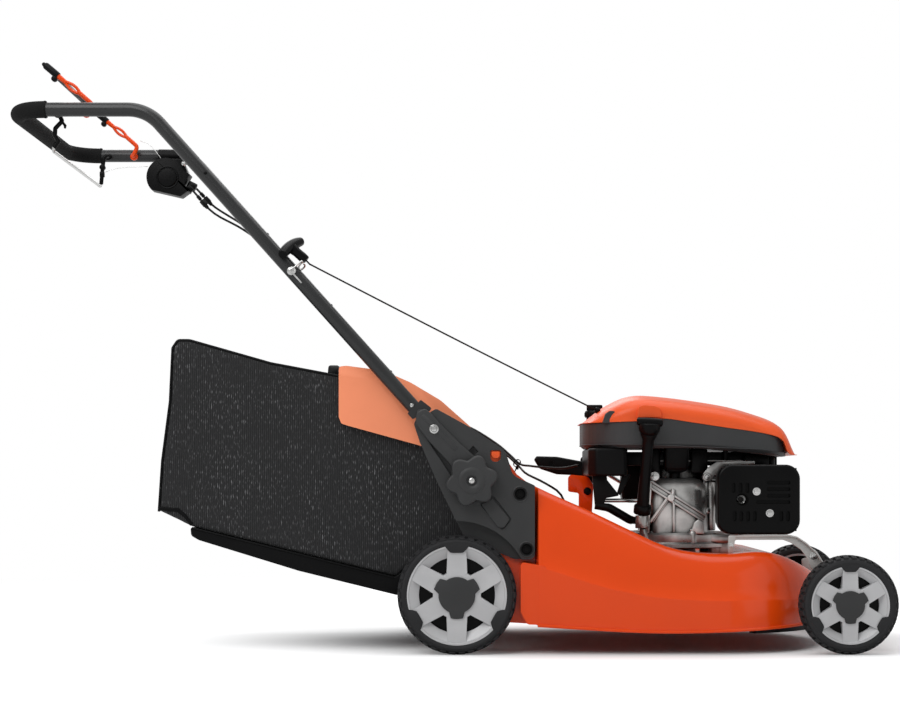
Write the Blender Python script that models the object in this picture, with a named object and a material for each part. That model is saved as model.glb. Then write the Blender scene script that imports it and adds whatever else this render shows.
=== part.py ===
"""A petrol lawn mower with a grass bag, one object for each piece.

Metres, +Z up. X runs forward, Y runs to the mower's left. The pieces are measured from the point on the ground
under the rear axle, and one empty carries that point to its place under the middle of the mower's outline.
"""

import math

import bmesh
import bpy
from mathutils import Matrix, Vector

# Clearances
GAP = 0.0003
RUNNING = 0.0005

# Wheels and axles
DECK_NOSE = 0.684
WHEELBASE = DECK_NOSE + 0.006
TRACK_OUTER = 0.290
REAR_RADIUS = 0.105
REAR_WIDTH = 0.050
REAR_RIM = REAR_RADIUS - 0.017
FRONT_RADIUS = 0.0875
FRONT_WIDTH = 0.045
FRONT_RIM = FRONT_RADIUS - 0.0185
AXLE_RADIUS = 0.008
HUB_RADIUS = 0.020
SWING_ARM_REAR = 0.075
SWING_ARM_FRONT = 0.062
SWING_RISE = 0.003
SWING_TUBE_RADIUS = 0.008
SWING_ARM_Y = TRACK_OUTER - 0.084
SWING_ARM_THICK = 0.007
WHEEL_LIFT = 0.0185

# Height lever and link rod
LINK_Y = TRACK_OUTER - 0.064
LINK_RADIUS = 0.004
LINK_FRONT = (WHEELBASE + 0.022, 0.158)
LEVER_PIVOT = (0.250, 0.285)
LEVER_CRANK = 0.062
LEVER_Y = 0.130

# Handle
TUBE_RADIUS = 0.0125
HANDLE_Y = TRACK_OUTER - 0.055
HANDLE_FOOT = (-0.070, 0.428)
HANDLE_CORNER = (-0.553, 0.967)
HANDLE_REAR = -0.794
HANDLE_BEND = 0.060
GRIP_RADIUS = 0.015
GRIP_REACH = 0.062
FOLD_PIVOT = (0.026, 0.306)
STOP_BAIL_PIVOT = (-0.664, 0.963)
STOP_BAIL_LENGTH = 0.128
STOP_BAIL_ANGLE = 48.5
DRIVE_BAIL_PIVOT = (-0.716, 0.962)
DRIVE_BAIL_FOOT = (-0.728, 0.899)
CABLE_GLAND = (-0.5365, HANDLE_Y - 0.030, 0.897)

# Deck
WALL = 0.003
CRANK_X = 0.405
DECK_REAR = 0.043
DECK_STEP = 0.138
DECK_HALF_WIDTH = TRACK_OUTER - 0.015
DECK_NECK_HALF_WIDTH = TRACK_OUTER - 0.062
DECK_NOSE_START = DECK_NOSE - 0.214
PLATE_Z = 0.168
CHAMBER_REAR = 0.130
TUNNEL_HALF_WIDTH = 0.180
BAY_HALF_WIDTH = DECK_NECK_HALF_WIDTH - WALL
BLADE_LENGTH = 2 * (DECK_HALF_WIDTH - 0.011)

# Side brackets
BRACKET_INNER = DECK_NECK_HALF_WIDTH + 0.001
BRACKET_OUTER = TRACK_OUTER - 0.032
ARM_THICK = 0.0117
KNOB_RADIUS = 0.0465
KNOB_LOBE_DEPTH = 0.011
KNOB_TURN = 12

# Engine
SHAFT_RADIUS = 0.0125
ENGINE_SPIGOT = 0.045
HOUSING_HALF_WIDTH = 0.150
HOUSING_FLOOR = 0.366
BELT_Z = REAR_RADIUS + 0.030
PULLEY_RADIUS = 0.030
GEARBOX_PULLEY_RADIUS = 0.035
FILLER_FOOT = (0.341, -(HOUSING_HALF_WIDTH - 0.022), 0.246)
FILLER_TOP = (0.353, -(HOUSING_HALF_WIDTH + 0.022), 0.392)
FILLER_RADIUS = 0.0125
ROPE_OUTLET = (0.258, -0.060, 0.438)
ROPE_GUIDE = (-0.263, -HANDLE_Y, 0.693)
ROPE_REST = (-0.2631, -HANDLE_Y - 0.0016, 0.6916)
ROPE_RADIUS = 0.0015

# Bag and flap
BAG_HALF_WIDTH = DECK_NECK_HALF_WIDTH - 0.020
BAG_FRAME_BAR = 0.016
BAG_WALL = 0.003
BAG_MOUTH_X = 0.0342
FLAP_HALF_WIDTH = DECK_NECK_HALF_WIDTH - 0.0135
FLAP_WALL = 0.003
FLAP_HINGE = (0.030, 0.374)
FLAP_ROD_RADIUS = 0.004

# The rear axle's place once the outline is centred on the origin
REAR_AXLE_X = -((HANDLE_REAR - GRIP_RADIUS) + (WHEELBASE + FRONT_RADIUS)) / 2

# Heights along the deck: the shoulder line, the crease in the side wall, the bottom edge
SHOULDER_LINE = [
    (DECK_REAR, 0.383), (0.075, 0.362), (0.106, 0.318), (0.141, 0.295), (0.234, 0.253), (0.322, 0.211),
    (0.374, 0.186), (0.427, 0.176), (0.489, 0.174), (0.530, 0.178), (0.565, 0.176), (0.600, 0.165),
    (0.632, 0.150), (0.660, 0.135), (DECK_NOSE, 0.115),
]
CREASE_LINE = [(DECK_REAR, 0.170), (0.141, 0.158), (0.265, 0.121), (0.376, 0.102), (0.594, 0.096), (DECK_NOSE, 0.090)]
EDGE_LINE = [(DECK_REAR, 0.056), (0.127, 0.051), (0.360, 0.039), (0.576, 0.045), (DECK_NOSE, 0.050)]
SHOULDER_INSET = 0.040
WELL_REAR = 0.262
WELL_START = 0.280
WELL_END = 0.528
WELL_HALF_WIDTH = 0.165

# Engine housing outlines in side view
PARTING_LINE = [
    (0.2285, 0.412), (0.372, 0.415), (0.429, 0.4077), (0.485, 0.398), (0.5725, 0.3915), (0.590, 0.376),
    (0.5965, 0.3545),
]
HOUSING_UNDERSIDE = [(0.5965, 0.3512), (0.5325, 0.359), (0.450, HOUSING_FLOOR), (0.2285, HOUSING_FLOOR)]
COVER_TOP = [
    (0.639, 0.3535), (0.636, 0.372), (0.621, 0.406), (0.605, 0.419), (0.572, 0.431), (0.506, 0.448), (0.440, 0.4595),
    (0.360, 0.467), (0.330, 0.467), (0.300, 0.460), (0.265, 0.443), (0.236, 0.420),
]
TANK_NECK = (0.262, 0.075)
HEAD_FRONT = 0.545

# The bag's outline in side view, from the mouth's top round to its bottom
BAG_TOP = [
    (BAG_MOUTH_X, 0.350), (0.014, 0.352), (-0.031, 0.412), (-0.085, 0.456), (-0.134, 0.479), (-0.219, 0.4965),
    (-0.336, 0.5185), (-0.482, 0.5600), (-0.503, 0.5600), (-0.5125, 0.5460),
]
BAG_REAR = [(-0.517, 0.450), (-0.531, 0.343), (-0.537, 0.252)]
BAG_BOTTOM = [(-0.478, 0.2240), (-0.112, 0.1340), (-0.060, 0.1725), (BAG_MOUTH_X, 0.1785)]
BASE_DROP = 0.0004

# The cables' own routes, from the control box down inside the left leg to the engine and the gearbox
CABLE_Y = HANDLE_Y - 0.016
STOP_CABLE_ROUTE = [
    (-0.535, HANDLE_Y - 0.030, 0.8955), (-0.500, HANDLE_Y - 0.027, 0.860), (-0.440, HANDLE_Y - 0.017, 0.822),
    (-0.380, CABLE_Y, 0.774), (-0.240, CABLE_Y, 0.618), (-0.100, CABLE_Y, 0.4620), (-0.040, CABLE_Y, 0.435),
    (0.020, CABLE_Y, 0.412), (0.070, CABLE_Y - 0.019, 0.388), (0.118, CABLE_Y - 0.059, 0.350),
    (0.160, 0.110, 0.331), (0.200, 0.070, 0.330), (0.2300, 0.050, 0.336),
]
DRIVE_CABLE_ROUTE = [
    (-0.540, HANDLE_Y - 0.037, 0.8890), (-0.500, HANDLE_Y - 0.036, 0.846), (-0.440, HANDLE_Y - 0.017, 0.813),
    (-0.380, CABLE_Y, 0.764), (-0.240, CABLE_Y, 0.606), (-0.100, CABLE_Y, 0.4490), (-0.040, CABLE_Y, 0.425),
    (0.020, CABLE_Y, 0.403), (0.070, CABLE_Y - 0.021, 0.3795), (0.118, CABLE_Y - 0.062, 0.3415),
    (0.158, 0.120, 0.316), (0.190, 0.105, 0.292), (0.2000, 0.102, 0.2735),
]

# Colour, roughness, metallic
FINISHES = {
    "orange": ((0.86, 0.12, 0.012), 0.30, 0.0),
    "dark_grey": ((0.045, 0.045, 0.048), 0.55, 0.0),
    "grey": ((0.085, 0.085, 0.09), 0.50, 0.0),
    "black": ((0.012, 0.012, 0.013), 0.50, 0.0),
    "foam": ((0.010, 0.010, 0.010), 0.85, 0.0),
    "tyre": ((0.020, 0.020, 0.021), 0.80, 0.0),
    "silver": ((0.52, 0.53, 0.55), 0.40, 0.1),
    "cast": ((0.50, 0.50, 0.50), 0.42, 0.9),
    "steel": ((0.60, 0.60, 0.60), 0.30, 1.0),
    "fabric": ((0.030, 0.030, 0.031), 0.90, 0.0),
}


def clear_scene():
    """Remove what the scene holds."""
    for old in list(bpy.data.objects):
        bpy.data.objects.remove(old, do_unlink=True)


def finish_material(name, finish):
    """A Principled material with the piece's colour."""
    colour, roughness, metallic = FINISHES[finish]
    made = bpy.data.materials.new(name)
    made.use_nodes = True
    shader = made.node_tree.nodes["Principled BSDF"]
    shader.inputs["Base Color"].default_value = (*colour, 1.0)
    shader.inputs["Roughness"].default_value = roughness
    shader.inputs["Metallic"].default_value = metallic
    made.diffuse_color = (*colour, 1.0)
    return made


def link_object(name, bm, origin):
    """Turn a bmesh into an object whose origin lies at the given place."""
    bmesh.ops.recalc_face_normals(bm, faces=bm.faces)
    bmesh.ops.translate(bm, verts=bm.verts, vec=-Vector(origin))
    mesh = bpy.data.meshes.new(name)
    bm.to_mesh(mesh)
    bm.free()
    made = bpy.data.objects.new(name, mesh)
    bpy.context.scene.collection.objects.link(made)
    made.location = origin
    made.parent = bpy.data.objects["mower"]
    return made


def piece(name, bm, finish, origin=(0.0, 0.0, 0.0)):
    """One sub-part, shaded smooth, with its own material."""
    made = link_object(name, bm, origin)
    made.data.shade_smooth()
    made.data.set_sharp_from_angle(angle=math.radians(35))
    made.data.materials.append(finish_material(name + "_finish", finish))
    return made


def combine(target, bm, operation):
    """Join or cut a piece with another shape, kept as a hidden tool."""
    tool = link_object(target.name + "_tool", bm, target.location)
    tool.hide_render = True
    tool.display_type = "WIRE"
    change = target.modifiers.new(operation.lower(), "BOOLEAN")
    change.operation = operation
    change.solver = "EXACT"
    change.object = tool


def cut(target, *shapes):
    """Cut shapes away from a piece."""
    for shape in shapes:
        combine(target, shape, "DIFFERENCE")


def add(target, *shapes):
    """Fuse shapes to a piece."""
    for shape in shapes:
        combine(target, shape, "UNION")


def fillet(points, radius, steps=4, closed=True):
    """Round the corners of a polyline; radius is one value or one for each point."""
    spots = [Vector(p).to_3d() for p in points]
    radii = radius if isinstance(radius, (list, tuple)) else [radius] * len(spots)
    out = []
    for i, spot in enumerate(spots):
        ends = not closed and i in (0, len(spots) - 1)
        if ends or radii[i] == 0:
            out.append(spot)
            continue
        back = (spots[i - 1] - spot).normalized()
        ahead = (spots[(i + 1) % len(spots)] - spot).normalized()
        half = back.angle(ahead) / 2
        if half > math.radians(89):
            out.append(spot)
            continue
        reach = radii[i] / math.tan(half)
        middle = spot + (back + ahead).normalized() * (radii[i] / math.sin(half))
        start = spot + back * reach - middle
        finish = spot + ahead * reach - middle
        turn = start.angle(finish)
        for k in range(steps + 1):
            share = k / steps
            arm = (start * math.sin((1 - share) * turn) + finish * math.sin(share * turn)) / math.sin(turn)
            out.append(middle + arm)
    return out


def arc(centre, radius, start, end, steps):
    """Points on an arc, angles in degrees."""
    spots = []
    for k in range(steps + 1):
        angle = math.radians(start + (end - start) * k / steps)
        spots.append((centre[0] + radius * math.cos(angle), centre[1] + radius * math.sin(angle)))
    return spots


def inset(points, distance):
    """Move each edge of a closed outline inward by a distance."""
    spots = [Vector(p).to_2d() for p in points]
    count = len(spots)
    area = sum(spots[i - 1].cross(spots[i]) for i in range(count))
    turn = 1 if area > 0 else -1
    out = []
    for i in range(count):
        before = (spots[i] - spots[i - 1]).normalized()
        after = (spots[(i + 1) % count] - spots[i]).normalized()
        normal_before = Vector((-before.y, before.x)) * turn
        normal_after = Vector((-after.y, after.x)) * turn
        mid = (normal_before + normal_after).normalized()
        out.append(spots[i] + mid * (distance / max(mid.dot(normal_after), 0.2)))
    return out


def capsule(start, end, radius_start, radius_end=None, steps=4):
    """Outline of a bar with round ends."""
    radius_end = radius_start if radius_end is None else radius_end
    angle = math.degrees(math.atan2(end[1] - start[1], end[0] - start[0]))
    near = arc(start, radius_start, angle + 90, angle + 270, steps)
    return near + arc(end, radius_end, angle - 90, angle + 90, steps)


def lobed(centre, radius, depth, lobes, count, turn=0.0):
    """Outline of a round knob with lobes, turned by an angle in degrees."""
    spots = []
    for k in range(count):
        angle = 2 * math.pi * k / count
        reach = radius - depth * (1 - math.cos(lobes * (angle - math.radians(turn)))) / 2
        spots.append((centre[0] + reach * math.cos(angle), centre[1] + reach * math.sin(angle)))
    return spots


def extruded(outline, low, high, axis="Y"):
    """A prism: an XZ outline along Y, or an XY outline along Z, or a YZ outline along X."""
    bm = bmesh.new()
    place = {
        "X": lambda a, b: (low, a, b),
        "Y": lambda a, b: (a, low, b),
        "Z": lambda a, b: (a, b, low),
    }[axis]
    along = {"X": Vector((1, 0, 0)), "Y": Vector((0, 1, 0)), "Z": Vector((0, 0, 1))}[axis]
    base = bm.faces.new([bm.verts.new(place(p[0], p[1])) for p in outline])
    grown = bmesh.ops.extrude_face_region(bm, geom=[base])
    moved = [g for g in grown["geom"] if isinstance(g, bmesh.types.BMVert)]
    bmesh.ops.translate(bm, verts=moved, vec=along * (high - low))
    return bm


def mirrored_extrusion(outline, inner, outer, side):
    """A prism along Y between two distances from the mower's middle, on one side."""
    return extruded(outline, side * inner, side * outer, "Y")


def box(x0, x1, y0, y1, z0, z1):
    """A box between two corners."""
    return extruded([(x0, z0), (x1, z0), (x1, z1), (x0, z1)], y0, y1, "Y")


def cylinder(start, end, radius, segments=14):
    """A rod between two points."""
    start, end = Vector(start), Vector(end)
    along = end - start
    turn = along.to_track_quat("Z", "Y").to_matrix().to_4x4()
    place = Matrix.Translation((start + end) / 2) @ turn
    bm = bmesh.new()
    bmesh.ops.create_cone(
        bm, cap_ends=True, segments=segments, radius1=radius, radius2=radius, depth=along.length, matrix=place
    )
    return bm


def turned(profile, centre, axis, segments=24):
    """Spin a profile of (radius, height) points about an axis through the centre."""
    bm = bmesh.new()
    verts = [bm.verts.new((r, 0, h)) for r, h in profile]
    edges = [bm.edges.new((verts[i], verts[i + 1])) for i in range(len(verts) - 1)]
    if profile[0][0] > 0:
        edges.append(bm.edges.new((verts[-1], verts[0])))
    bmesh.ops.spin(
        bm, geom=verts + edges, cent=(0, 0, 0), axis=(0, 0, 1), angle=2 * math.pi, steps=segments, use_merge=True
    )
    bmesh.ops.remove_doubles(bm, verts=bm.verts, dist=0.000001)
    place = Matrix.Translation(centre) @ Vector(axis).to_track_quat("Z", "Y").to_matrix().to_4x4()
    bmesh.ops.transform(bm, matrix=place, verts=bm.verts)
    return bm


def swept(points, radius, sides=12, bore=None):
    """A round bar, or a sleeve with a bore, along a path."""
    path = [Vector(p).to_3d() for p in points]
    bm = bmesh.new()
    normal = None
    rings = {"outer": [], "inner": []}
    for i, spot in enumerate(path):
        before = (spot - path[i - 1]).normalized() if i > 0 else (path[1] - spot).normalized()
        after = (path[i + 1] - spot).normalized() if i < len(path) - 1 else before
        along = (before + after).normalized()
        stretch = 1 / max(along.dot(after), 0.5)
        if normal is None:
            normal = along.orthogonal().normalized()
            if abs(along.z) < 0.95:
                normal = along.cross(Vector((0, 0, 1))).normalized()
        normal = (normal - along * normal.dot(along)).normalized()
        side = along.cross(normal)
        bend = after - before
        for name, reach in (("outer", radius), ("inner", bore)):
            if reach is None:
                continue
            ring = []
            for k in range(sides):
                angle = 2 * math.pi * k / sides
                arm = (normal * math.cos(angle) + side * math.sin(angle)) * reach
                if bend.length > 0.001:
                    across = bend.normalized()
                    arm += across * arm.dot(across) * (stretch - 1)
                ring.append(bm.verts.new(spot + arm))
            rings[name].append(ring)
    for name in ("outer", "inner"):
        for first, second in zip(rings[name], rings[name][1:]):
            for k in range(sides):
                bm.faces.new((first[k - 1], first[k], second[k], second[k - 1]))
    for end in (0, -1):
        if bore is None:
            bm.faces.new(rings["outer"][end])
            continue
        for k in range(sides):
            outer, inner = rings["outer"][end], rings["inner"][end]
            bm.faces.new((outer[k - 1], outer[k], inner[k], inner[k - 1]))
    return bm


def lofted(sections):
    """Skin a row of closed sections that have the same number of points."""
    bm = bmesh.new()
    loops = [[bm.verts.new(p) for p in section] for section in sections]
    count = len(loops[0])
    for first, second in zip(loops, loops[1:]):
        for k in range(count):
            bm.faces.new((first[k - 1], first[k], second[k], second[k - 1]))
    bm.faces.new(loops[0])
    bm.faces.new(loops[-1])
    return bm


def between(table, x):
    """Read a height off a polyline of (x, height) points."""
    for (x0, h0), (x1, h1) in zip(table, table[1:]):
        if x <= x1:
            return h0 + (h1 - h0) * (x - x0) / (x1 - x0)
    return table[-1][1]


def deck_half_width(x):
    """Half the deck's width: a neck behind, straight sides, a round nose."""
    if x <= DECK_STEP:
        return DECK_NECK_HALF_WIDTH
    if x <= DECK_NOSE_START:
        return DECK_HALF_WIDTH
    share = (x - DECK_NOSE_START) / (DECK_NOSE - DECK_NOSE_START)
    return max(DECK_HALF_WIDTH * math.sqrt(max(1 - share * share, 0)), 0.075)


def deck_section(x, wall, bottom=None):
    """A section across the deck, with the engine's well in its top."""
    half = deck_half_width(x) - wall
    shoulder = between(SHOULDER_LINE, x) - wall
    crease = between(CREASE_LINE, x)
    low = between(EDGE_LINE, x) if bottom is None else bottom
    slope = min(SHOULDER_INSET, half * 0.5) if x > DECK_STEP else 0.010
    in_well = WELL_START <= x <= WELL_END
    well = min(PLATE_Z - wall, shoulder) if in_well else shoulder
    floor = min(WELL_HALF_WIDTH, half - slope - 0.012)
    lip = min(floor + 0.010, half - slope - 0.004)
    side = [(half, low), (half, crease), (half - slope, shoulder), (lip, shoulder), (floor, well)]
    left = [(x, y, z) for y, z in side]
    right = [(x, -y, z) for y, z in reversed(side)]
    return left + right


def deck_stations(start, end):
    """Where the deck's sections stand between two places."""
    marks = [DECK_REAR, 0.075, 0.106, DECK_STEP, DECK_STEP + 0.008, 0.188, 0.234, WELL_REAR, WELL_START, 0.322, 0.374]
    marks += [0.427, 0.470, 0.500, WELL_END, 0.546, 0.575, 0.600, 0.622, 0.640, 0.655, 0.668, 0.678, DECK_NOSE]
    return [start] + [x for x in marks if start + 0.002 < x < end - 0.002] + [end]


def build_deck():
    """The pressed deck: blade chamber, rear discharge tunnel, engine well and belt bay."""
    deck = piece("deck", lofted([deck_section(x, 0) for x in deck_stations(DECK_REAR, DECK_NOSE)]), "orange")
    for side in (-1, 1):
        ear = [(0.114, 0.075), (0.126, 0.053), (0.158, 0.052), (0.158, 0.155), (0.114, 0.163)]
        add(deck, mirrored_extrusion(ear, DECK_NECK_HALF_WIDTH - 0.008, DECK_HALF_WIDTH - 0.0004, side))
    chamber_start = DECK_STEP + 0.008 + WALL
    chamber = [deck_section(x, WALL, -0.02) for x in deck_stations(chamber_start, DECK_NOSE - WALL)]
    cut(deck, lofted([[(x, y, min(z, PLATE_Z - WALL)) for x, y, z in section] for section in chamber]))
    half = BAY_HALF_WIDTH - WALL
    cut(deck, box(CHAMBER_REAR, chamber_start + 0.01, -half, half, -0.03, PLATE_Z - 0.004))
    tunnel = [
        (0.165, 0.150), (0.128, 0.172), (0.020, 0.178), (0.020, 0.366), (DECK_REAR, 0.366), (0.075, 0.345),
        (0.104, 0.306), (0.140, 0.284), (0.232, 0.243), (0.272, 0.150),
    ]
    cut(deck, extruded(tunnel, -TUNNEL_HALF_WIDTH, TUNNEL_HALF_WIDTH))
    cut(deck, box(0.020, CHAMBER_REAR - WALL, -BAY_HALF_WIDTH, BAY_HALF_WIDTH, -0.02, 0.160))
    cut(deck, box(0.100, 0.160, -0.055, 0.055, BELT_Z - 0.010, BELT_Z + 0.011))
    cut(deck, cylinder((CRANK_X, 0, 0.12), (CRANK_X, 0, 0.20), ENGINE_SPIGOT + 0.001, 32))
    return deck


def build_brackets():
    """Side brackets that carry the handle, clear of the rear wheels."""
    outline = [
        (-0.037, 0.434), (0.081, 0.355), (0.088, 0.337), (0.106, 0.311), (0.1375, 0.297), (0.1375, 0.1665),
        (0.102, 0.1665), (0.014, 0.202), (-0.078, 0.404),
    ]
    rounded = fillet(outline, [0.008, 0.006, 0.01, 0.02, 0.004, 0.006, 0.01, 0.012, 0.012], 3)
    flat = [(p.x, p.y) for p in rounded]
    for side, name in ((-1, "side_bracket_right"), (1, "side_bracket_left")):
        bracket = piece(name, mirrored_extrusion(flat, BRACKET_INNER, BRACKET_OUTER, side), "dark_grey")
        arch = REAR_RADIUS + WHEEL_LIFT + 0.006
        inner_face = TRACK_OUTER - REAR_WIDTH - 0.0035
        outer_end = BRACKET_OUTER + 0.012
        cut(bracket, cylinder((0, side * inner_face, REAR_RADIUS), (0, side * outer_end, REAR_RADIUS), arch, 64))
        recess = side * (BRACKET_OUTER - 0.008)
        proud = side * (BRACKET_OUTER + 0.002)
        for x, z, radius in ((0.111, 0.283, 0.012), (0.121, 0.188, 0.012), (0.0676, 0.349, 0.008)):
            cut(bracket, cylinder((x, recess, z), (x, proud, z), radius, 12))
        pocket = [(0.029, 0.3665), (0.0385, 0.357), (0.029, 0.3475), (0.0195, 0.357)]
        cut(bracket, mirrored_extrusion(pocket, BRACKET_OUTER - 0.008, BRACKET_OUTER + 0.002, side))


def build_wheel(name, axle, radius, width, rim_radius, side):
    """A tyre, a six-window rim and a hub cap, all centred on their axle."""
    face = side * TRACK_OUTER
    inward = (0, -side, 0)
    centre = (axle[0], face, axle[1])
    round_off = 0.007
    tyre_profile = [
        (rim_radius, 0), (radius - round_off, 0), (radius, round_off), (radius, width - round_off),
        (radius - round_off, width), (rim_radius, width),
    ]
    piece(name + "_tyre", turned(tyre_profile, centre, inward, 28), "tyre", centre)
    seat = rim_radius - GAP
    plate, back = 0.008, 0.018
    bore = AXLE_RADIUS + GAP
    rim_profile = [
        (bore, plate), (seat, plate), (seat, width - 0.003), (seat - 0.005, width - 0.003), (seat - 0.005, back),
        (HUB_RADIUS, back), (HUB_RADIUS, width), (bore, width),
    ]
    rim = piece(name + "_rim", turned(rim_profile, centre, inward, 28), "silver", centre)
    inner, outer = HUB_RADIUS + 0.018, seat - 0.012
    for k in range(6):
        middle = 60 * k
        window = arc((0, 0), outer, middle - 16, middle + 16, 3) + arc((0, 0), inner, middle + 8, middle - 8, 1)
        flat = [(axle[0] + a, axle[1] + b) for a, b in window]
        cut(rim, extruded(flat, face - side * (plate - 0.004), face - side * (back + 0.004)))
    cap = lobed((0, 0), 0.037 * radius / REAR_RADIUS, 0.006, 3, 24)
    outline = [(axle[0] + a, axle[1] + b) for a, b in cap]
    piece(name + "_hub_cap", extruded(outline, face - side * 0.001, face - side * (plate - GAP)), "grey", centre)


def build_wheels():
    """Four wheels: two on the rear shaft, two on the front axle's stubs."""
    for side, hand in ((-1, "right"), (1, "left")):
        build_wheel("rear_" + hand, (0, REAR_RADIUS), REAR_RADIUS, REAR_WIDTH, REAR_RIM, side)
        build_wheel("front_" + hand, (WHEELBASE, FRONT_RADIUS), FRONT_RADIUS, FRONT_WIDTH, FRONT_RIM, side)


def build_running_gear():
    """The swinging axle carriers, the rear shaft, the gearbox and its belt."""
    pivot = (SWING_ARM_REAR, 0, REAR_RADIUS + SWING_RISE)
    tube_end = BAY_HALF_WIDTH - RUNNING
    carrier = piece(
        "rear_axle_carrier",
        cylinder((pivot[0], -tube_end, pivot[2]), (pivot[0], tube_end, pivot[2]), SWING_TUBE_RADIUS, 12),
        "black", pivot,
    )
    sleeve_end = TRACK_OUTER - REAR_WIDTH - GAP
    for side in (-1, 1):
        arm = capsule((pivot[0], pivot[2]), (0, REAR_RADIUS), 0.0125, 0.016)
        add(carrier, mirrored_extrusion(arm, SWING_ARM_Y, SWING_ARM_Y + SWING_ARM_THICK, side))
        start, end = side * (SWING_ARM_Y - 0.010), side * sleeve_end
        add(carrier, cylinder((0, start, REAR_RADIUS), (0, end, REAR_RADIUS), AXLE_RADIUS + 0.005, 12))
    past = sleeve_end + 0.010
    cut(carrier, cylinder((0, -past, REAR_RADIUS), (0, past, REAR_RADIUS), AXLE_RADIUS + GAP, 12))
    stub_end = TRACK_OUTER - 0.0085
    piece("rear_axle", cylinder((0, -stub_end, REAR_RADIUS), (0, stub_end, REAR_RADIUS), AXLE_RADIUS, 12), "steel")

    half = 0.045
    low, shoulder, high = REAR_RADIUS - 0.033, REAR_RADIUS + 0.007, REAR_RADIUS + 0.019
    case = [(-half, low), (half, low), (half, shoulder), (0.030, high), (-0.030, high), (-half, shoulder)]
    gearbox = piece("gearbox", extruded(case, -0.050, 0.050), "black")
    add(gearbox, cylinder((0, -0.070, REAR_RADIUS - 0.002), (0, 0.070, REAR_RADIUS - 0.002), 0.018, 16))
    arm = capsule((pivot[0], pivot[2]), (0.030, REAR_RADIUS - 0.001), SWING_TUBE_RADIUS + 0.007, 0.015)
    add(gearbox, extruded(arm, -0.016, 0.016))
    add(gearbox, cylinder((0, 0, REAR_RADIUS + 0.015), (0, 0, BELT_Z + 0.006), 0.007, 12))
    cut(gearbox, cylinder((0, -0.08, REAR_RADIUS), (0, 0.08, REAR_RADIUS), AXLE_RADIUS + GAP, 12))
    cut(gearbox, cylinder((pivot[0], -0.03, pivot[2]), (pivot[0], 0.03, pivot[2]), SWING_TUBE_RADIUS + GAP, 12))
    pulley(
        "gearbox_pulley", GEARBOX_PULLEY_RADIUS, 0.007 + GAP, BELT_Z - 0.0075, BELT_Z + 0.0075, (0, 0, 0), "steel"
    )
    build_belt()
    build_front_axle()


def pulley(name, radius, bore, low, high, centre, finish):
    """A V pulley about a vertical axis."""
    groove = 0.005
    profile = [(bore, low), (radius, low), (radius - groove, BELT_Z), (radius, high), (bore, high)]
    return piece(name, turned(profile, centre, (0, 0, 1), 16), finish, centre)


def build_belt():
    """The drive belt, round both pulleys."""
    groove = 0.005
    small = PULLEY_RADIUS - groove + GAP
    large = GEARBOX_PULLEY_RADIUS - groove + GAP
    tilt = math.degrees(math.asin((large - small) / CRANK_X))
    thick = 0.005
    belt_low, belt_high = BELT_Z - 0.0015, BELT_Z + 0.0015

    def loop(extra):
        back = arc((0, 0), large + extra, 90 - tilt, 270 + tilt, 10)
        front = arc((CRANK_X, 0), small + extra, -90 + tilt, 90 - tilt, 10)
        return back + front

    inner, outer = loop(0.0012), loop(thick)
    rings = [[(x, y, belt_low) for x, y in inner], [(x, y, belt_high) for x, y in inner]]
    rings += [[(x, y, belt_high) for x, y in outer], [(x, y, belt_low) for x, y in outer]]
    bm = bmesh.new()
    loops = [[bm.verts.new(p) for p in ring] for ring in rings]
    count = len(inner)
    for first, second in zip(loops, loops[1:] + loops[:1]):
        for k in range(count):
            bm.faces.new((first[k - 1], first[k], second[k], second[k - 1]))
    piece("drive_belt", bm, "black")


def build_front_axle():
    """The front axle: a pivot tube with trailing arms, stubs and a height crank."""
    pivot = (WHEELBASE + SWING_ARM_FRONT, 0, FRONT_RADIUS + SWING_RISE)
    wheel_inner = TRACK_OUTER - FRONT_WIDTH
    tube_end = SWING_ARM_Y + SWING_ARM_THICK + 0.004
    axle = piece(
        "front_axle",
        cylinder((pivot[0], -tube_end, pivot[2]), (pivot[0], tube_end, pivot[2]), SWING_TUBE_RADIUS, 12),
        "steel", pivot,
    )
    for side in (-1, 1):
        arm = capsule((pivot[0], pivot[2]), (WHEELBASE, FRONT_RADIUS), 0.0125, 0.015)
        add(axle, mirrored_extrusion(arm, SWING_ARM_Y, SWING_ARM_Y + SWING_ARM_THICK, side))
        low, high = side * (SWING_ARM_Y + 0.001), side * (wheel_inner - GAP)
        add(axle, cylinder((WHEELBASE, low, FRONT_RADIUS), (WHEELBASE, high, FRONT_RADIUS), 0.0135, 12))
        high = side * (TRACK_OUTER - 0.0085)
        add(axle, cylinder((WHEELBASE, low, FRONT_RADIUS), (WHEELBASE, high, FRONT_RADIUS), AXLE_RADIUS, 12))
    crank = capsule((pivot[0], pivot[2]), LINK_FRONT, 0.011, 0.009)
    add(axle, extruded(crank, LINK_Y - 0.0125, LINK_Y - 0.0065))


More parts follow.
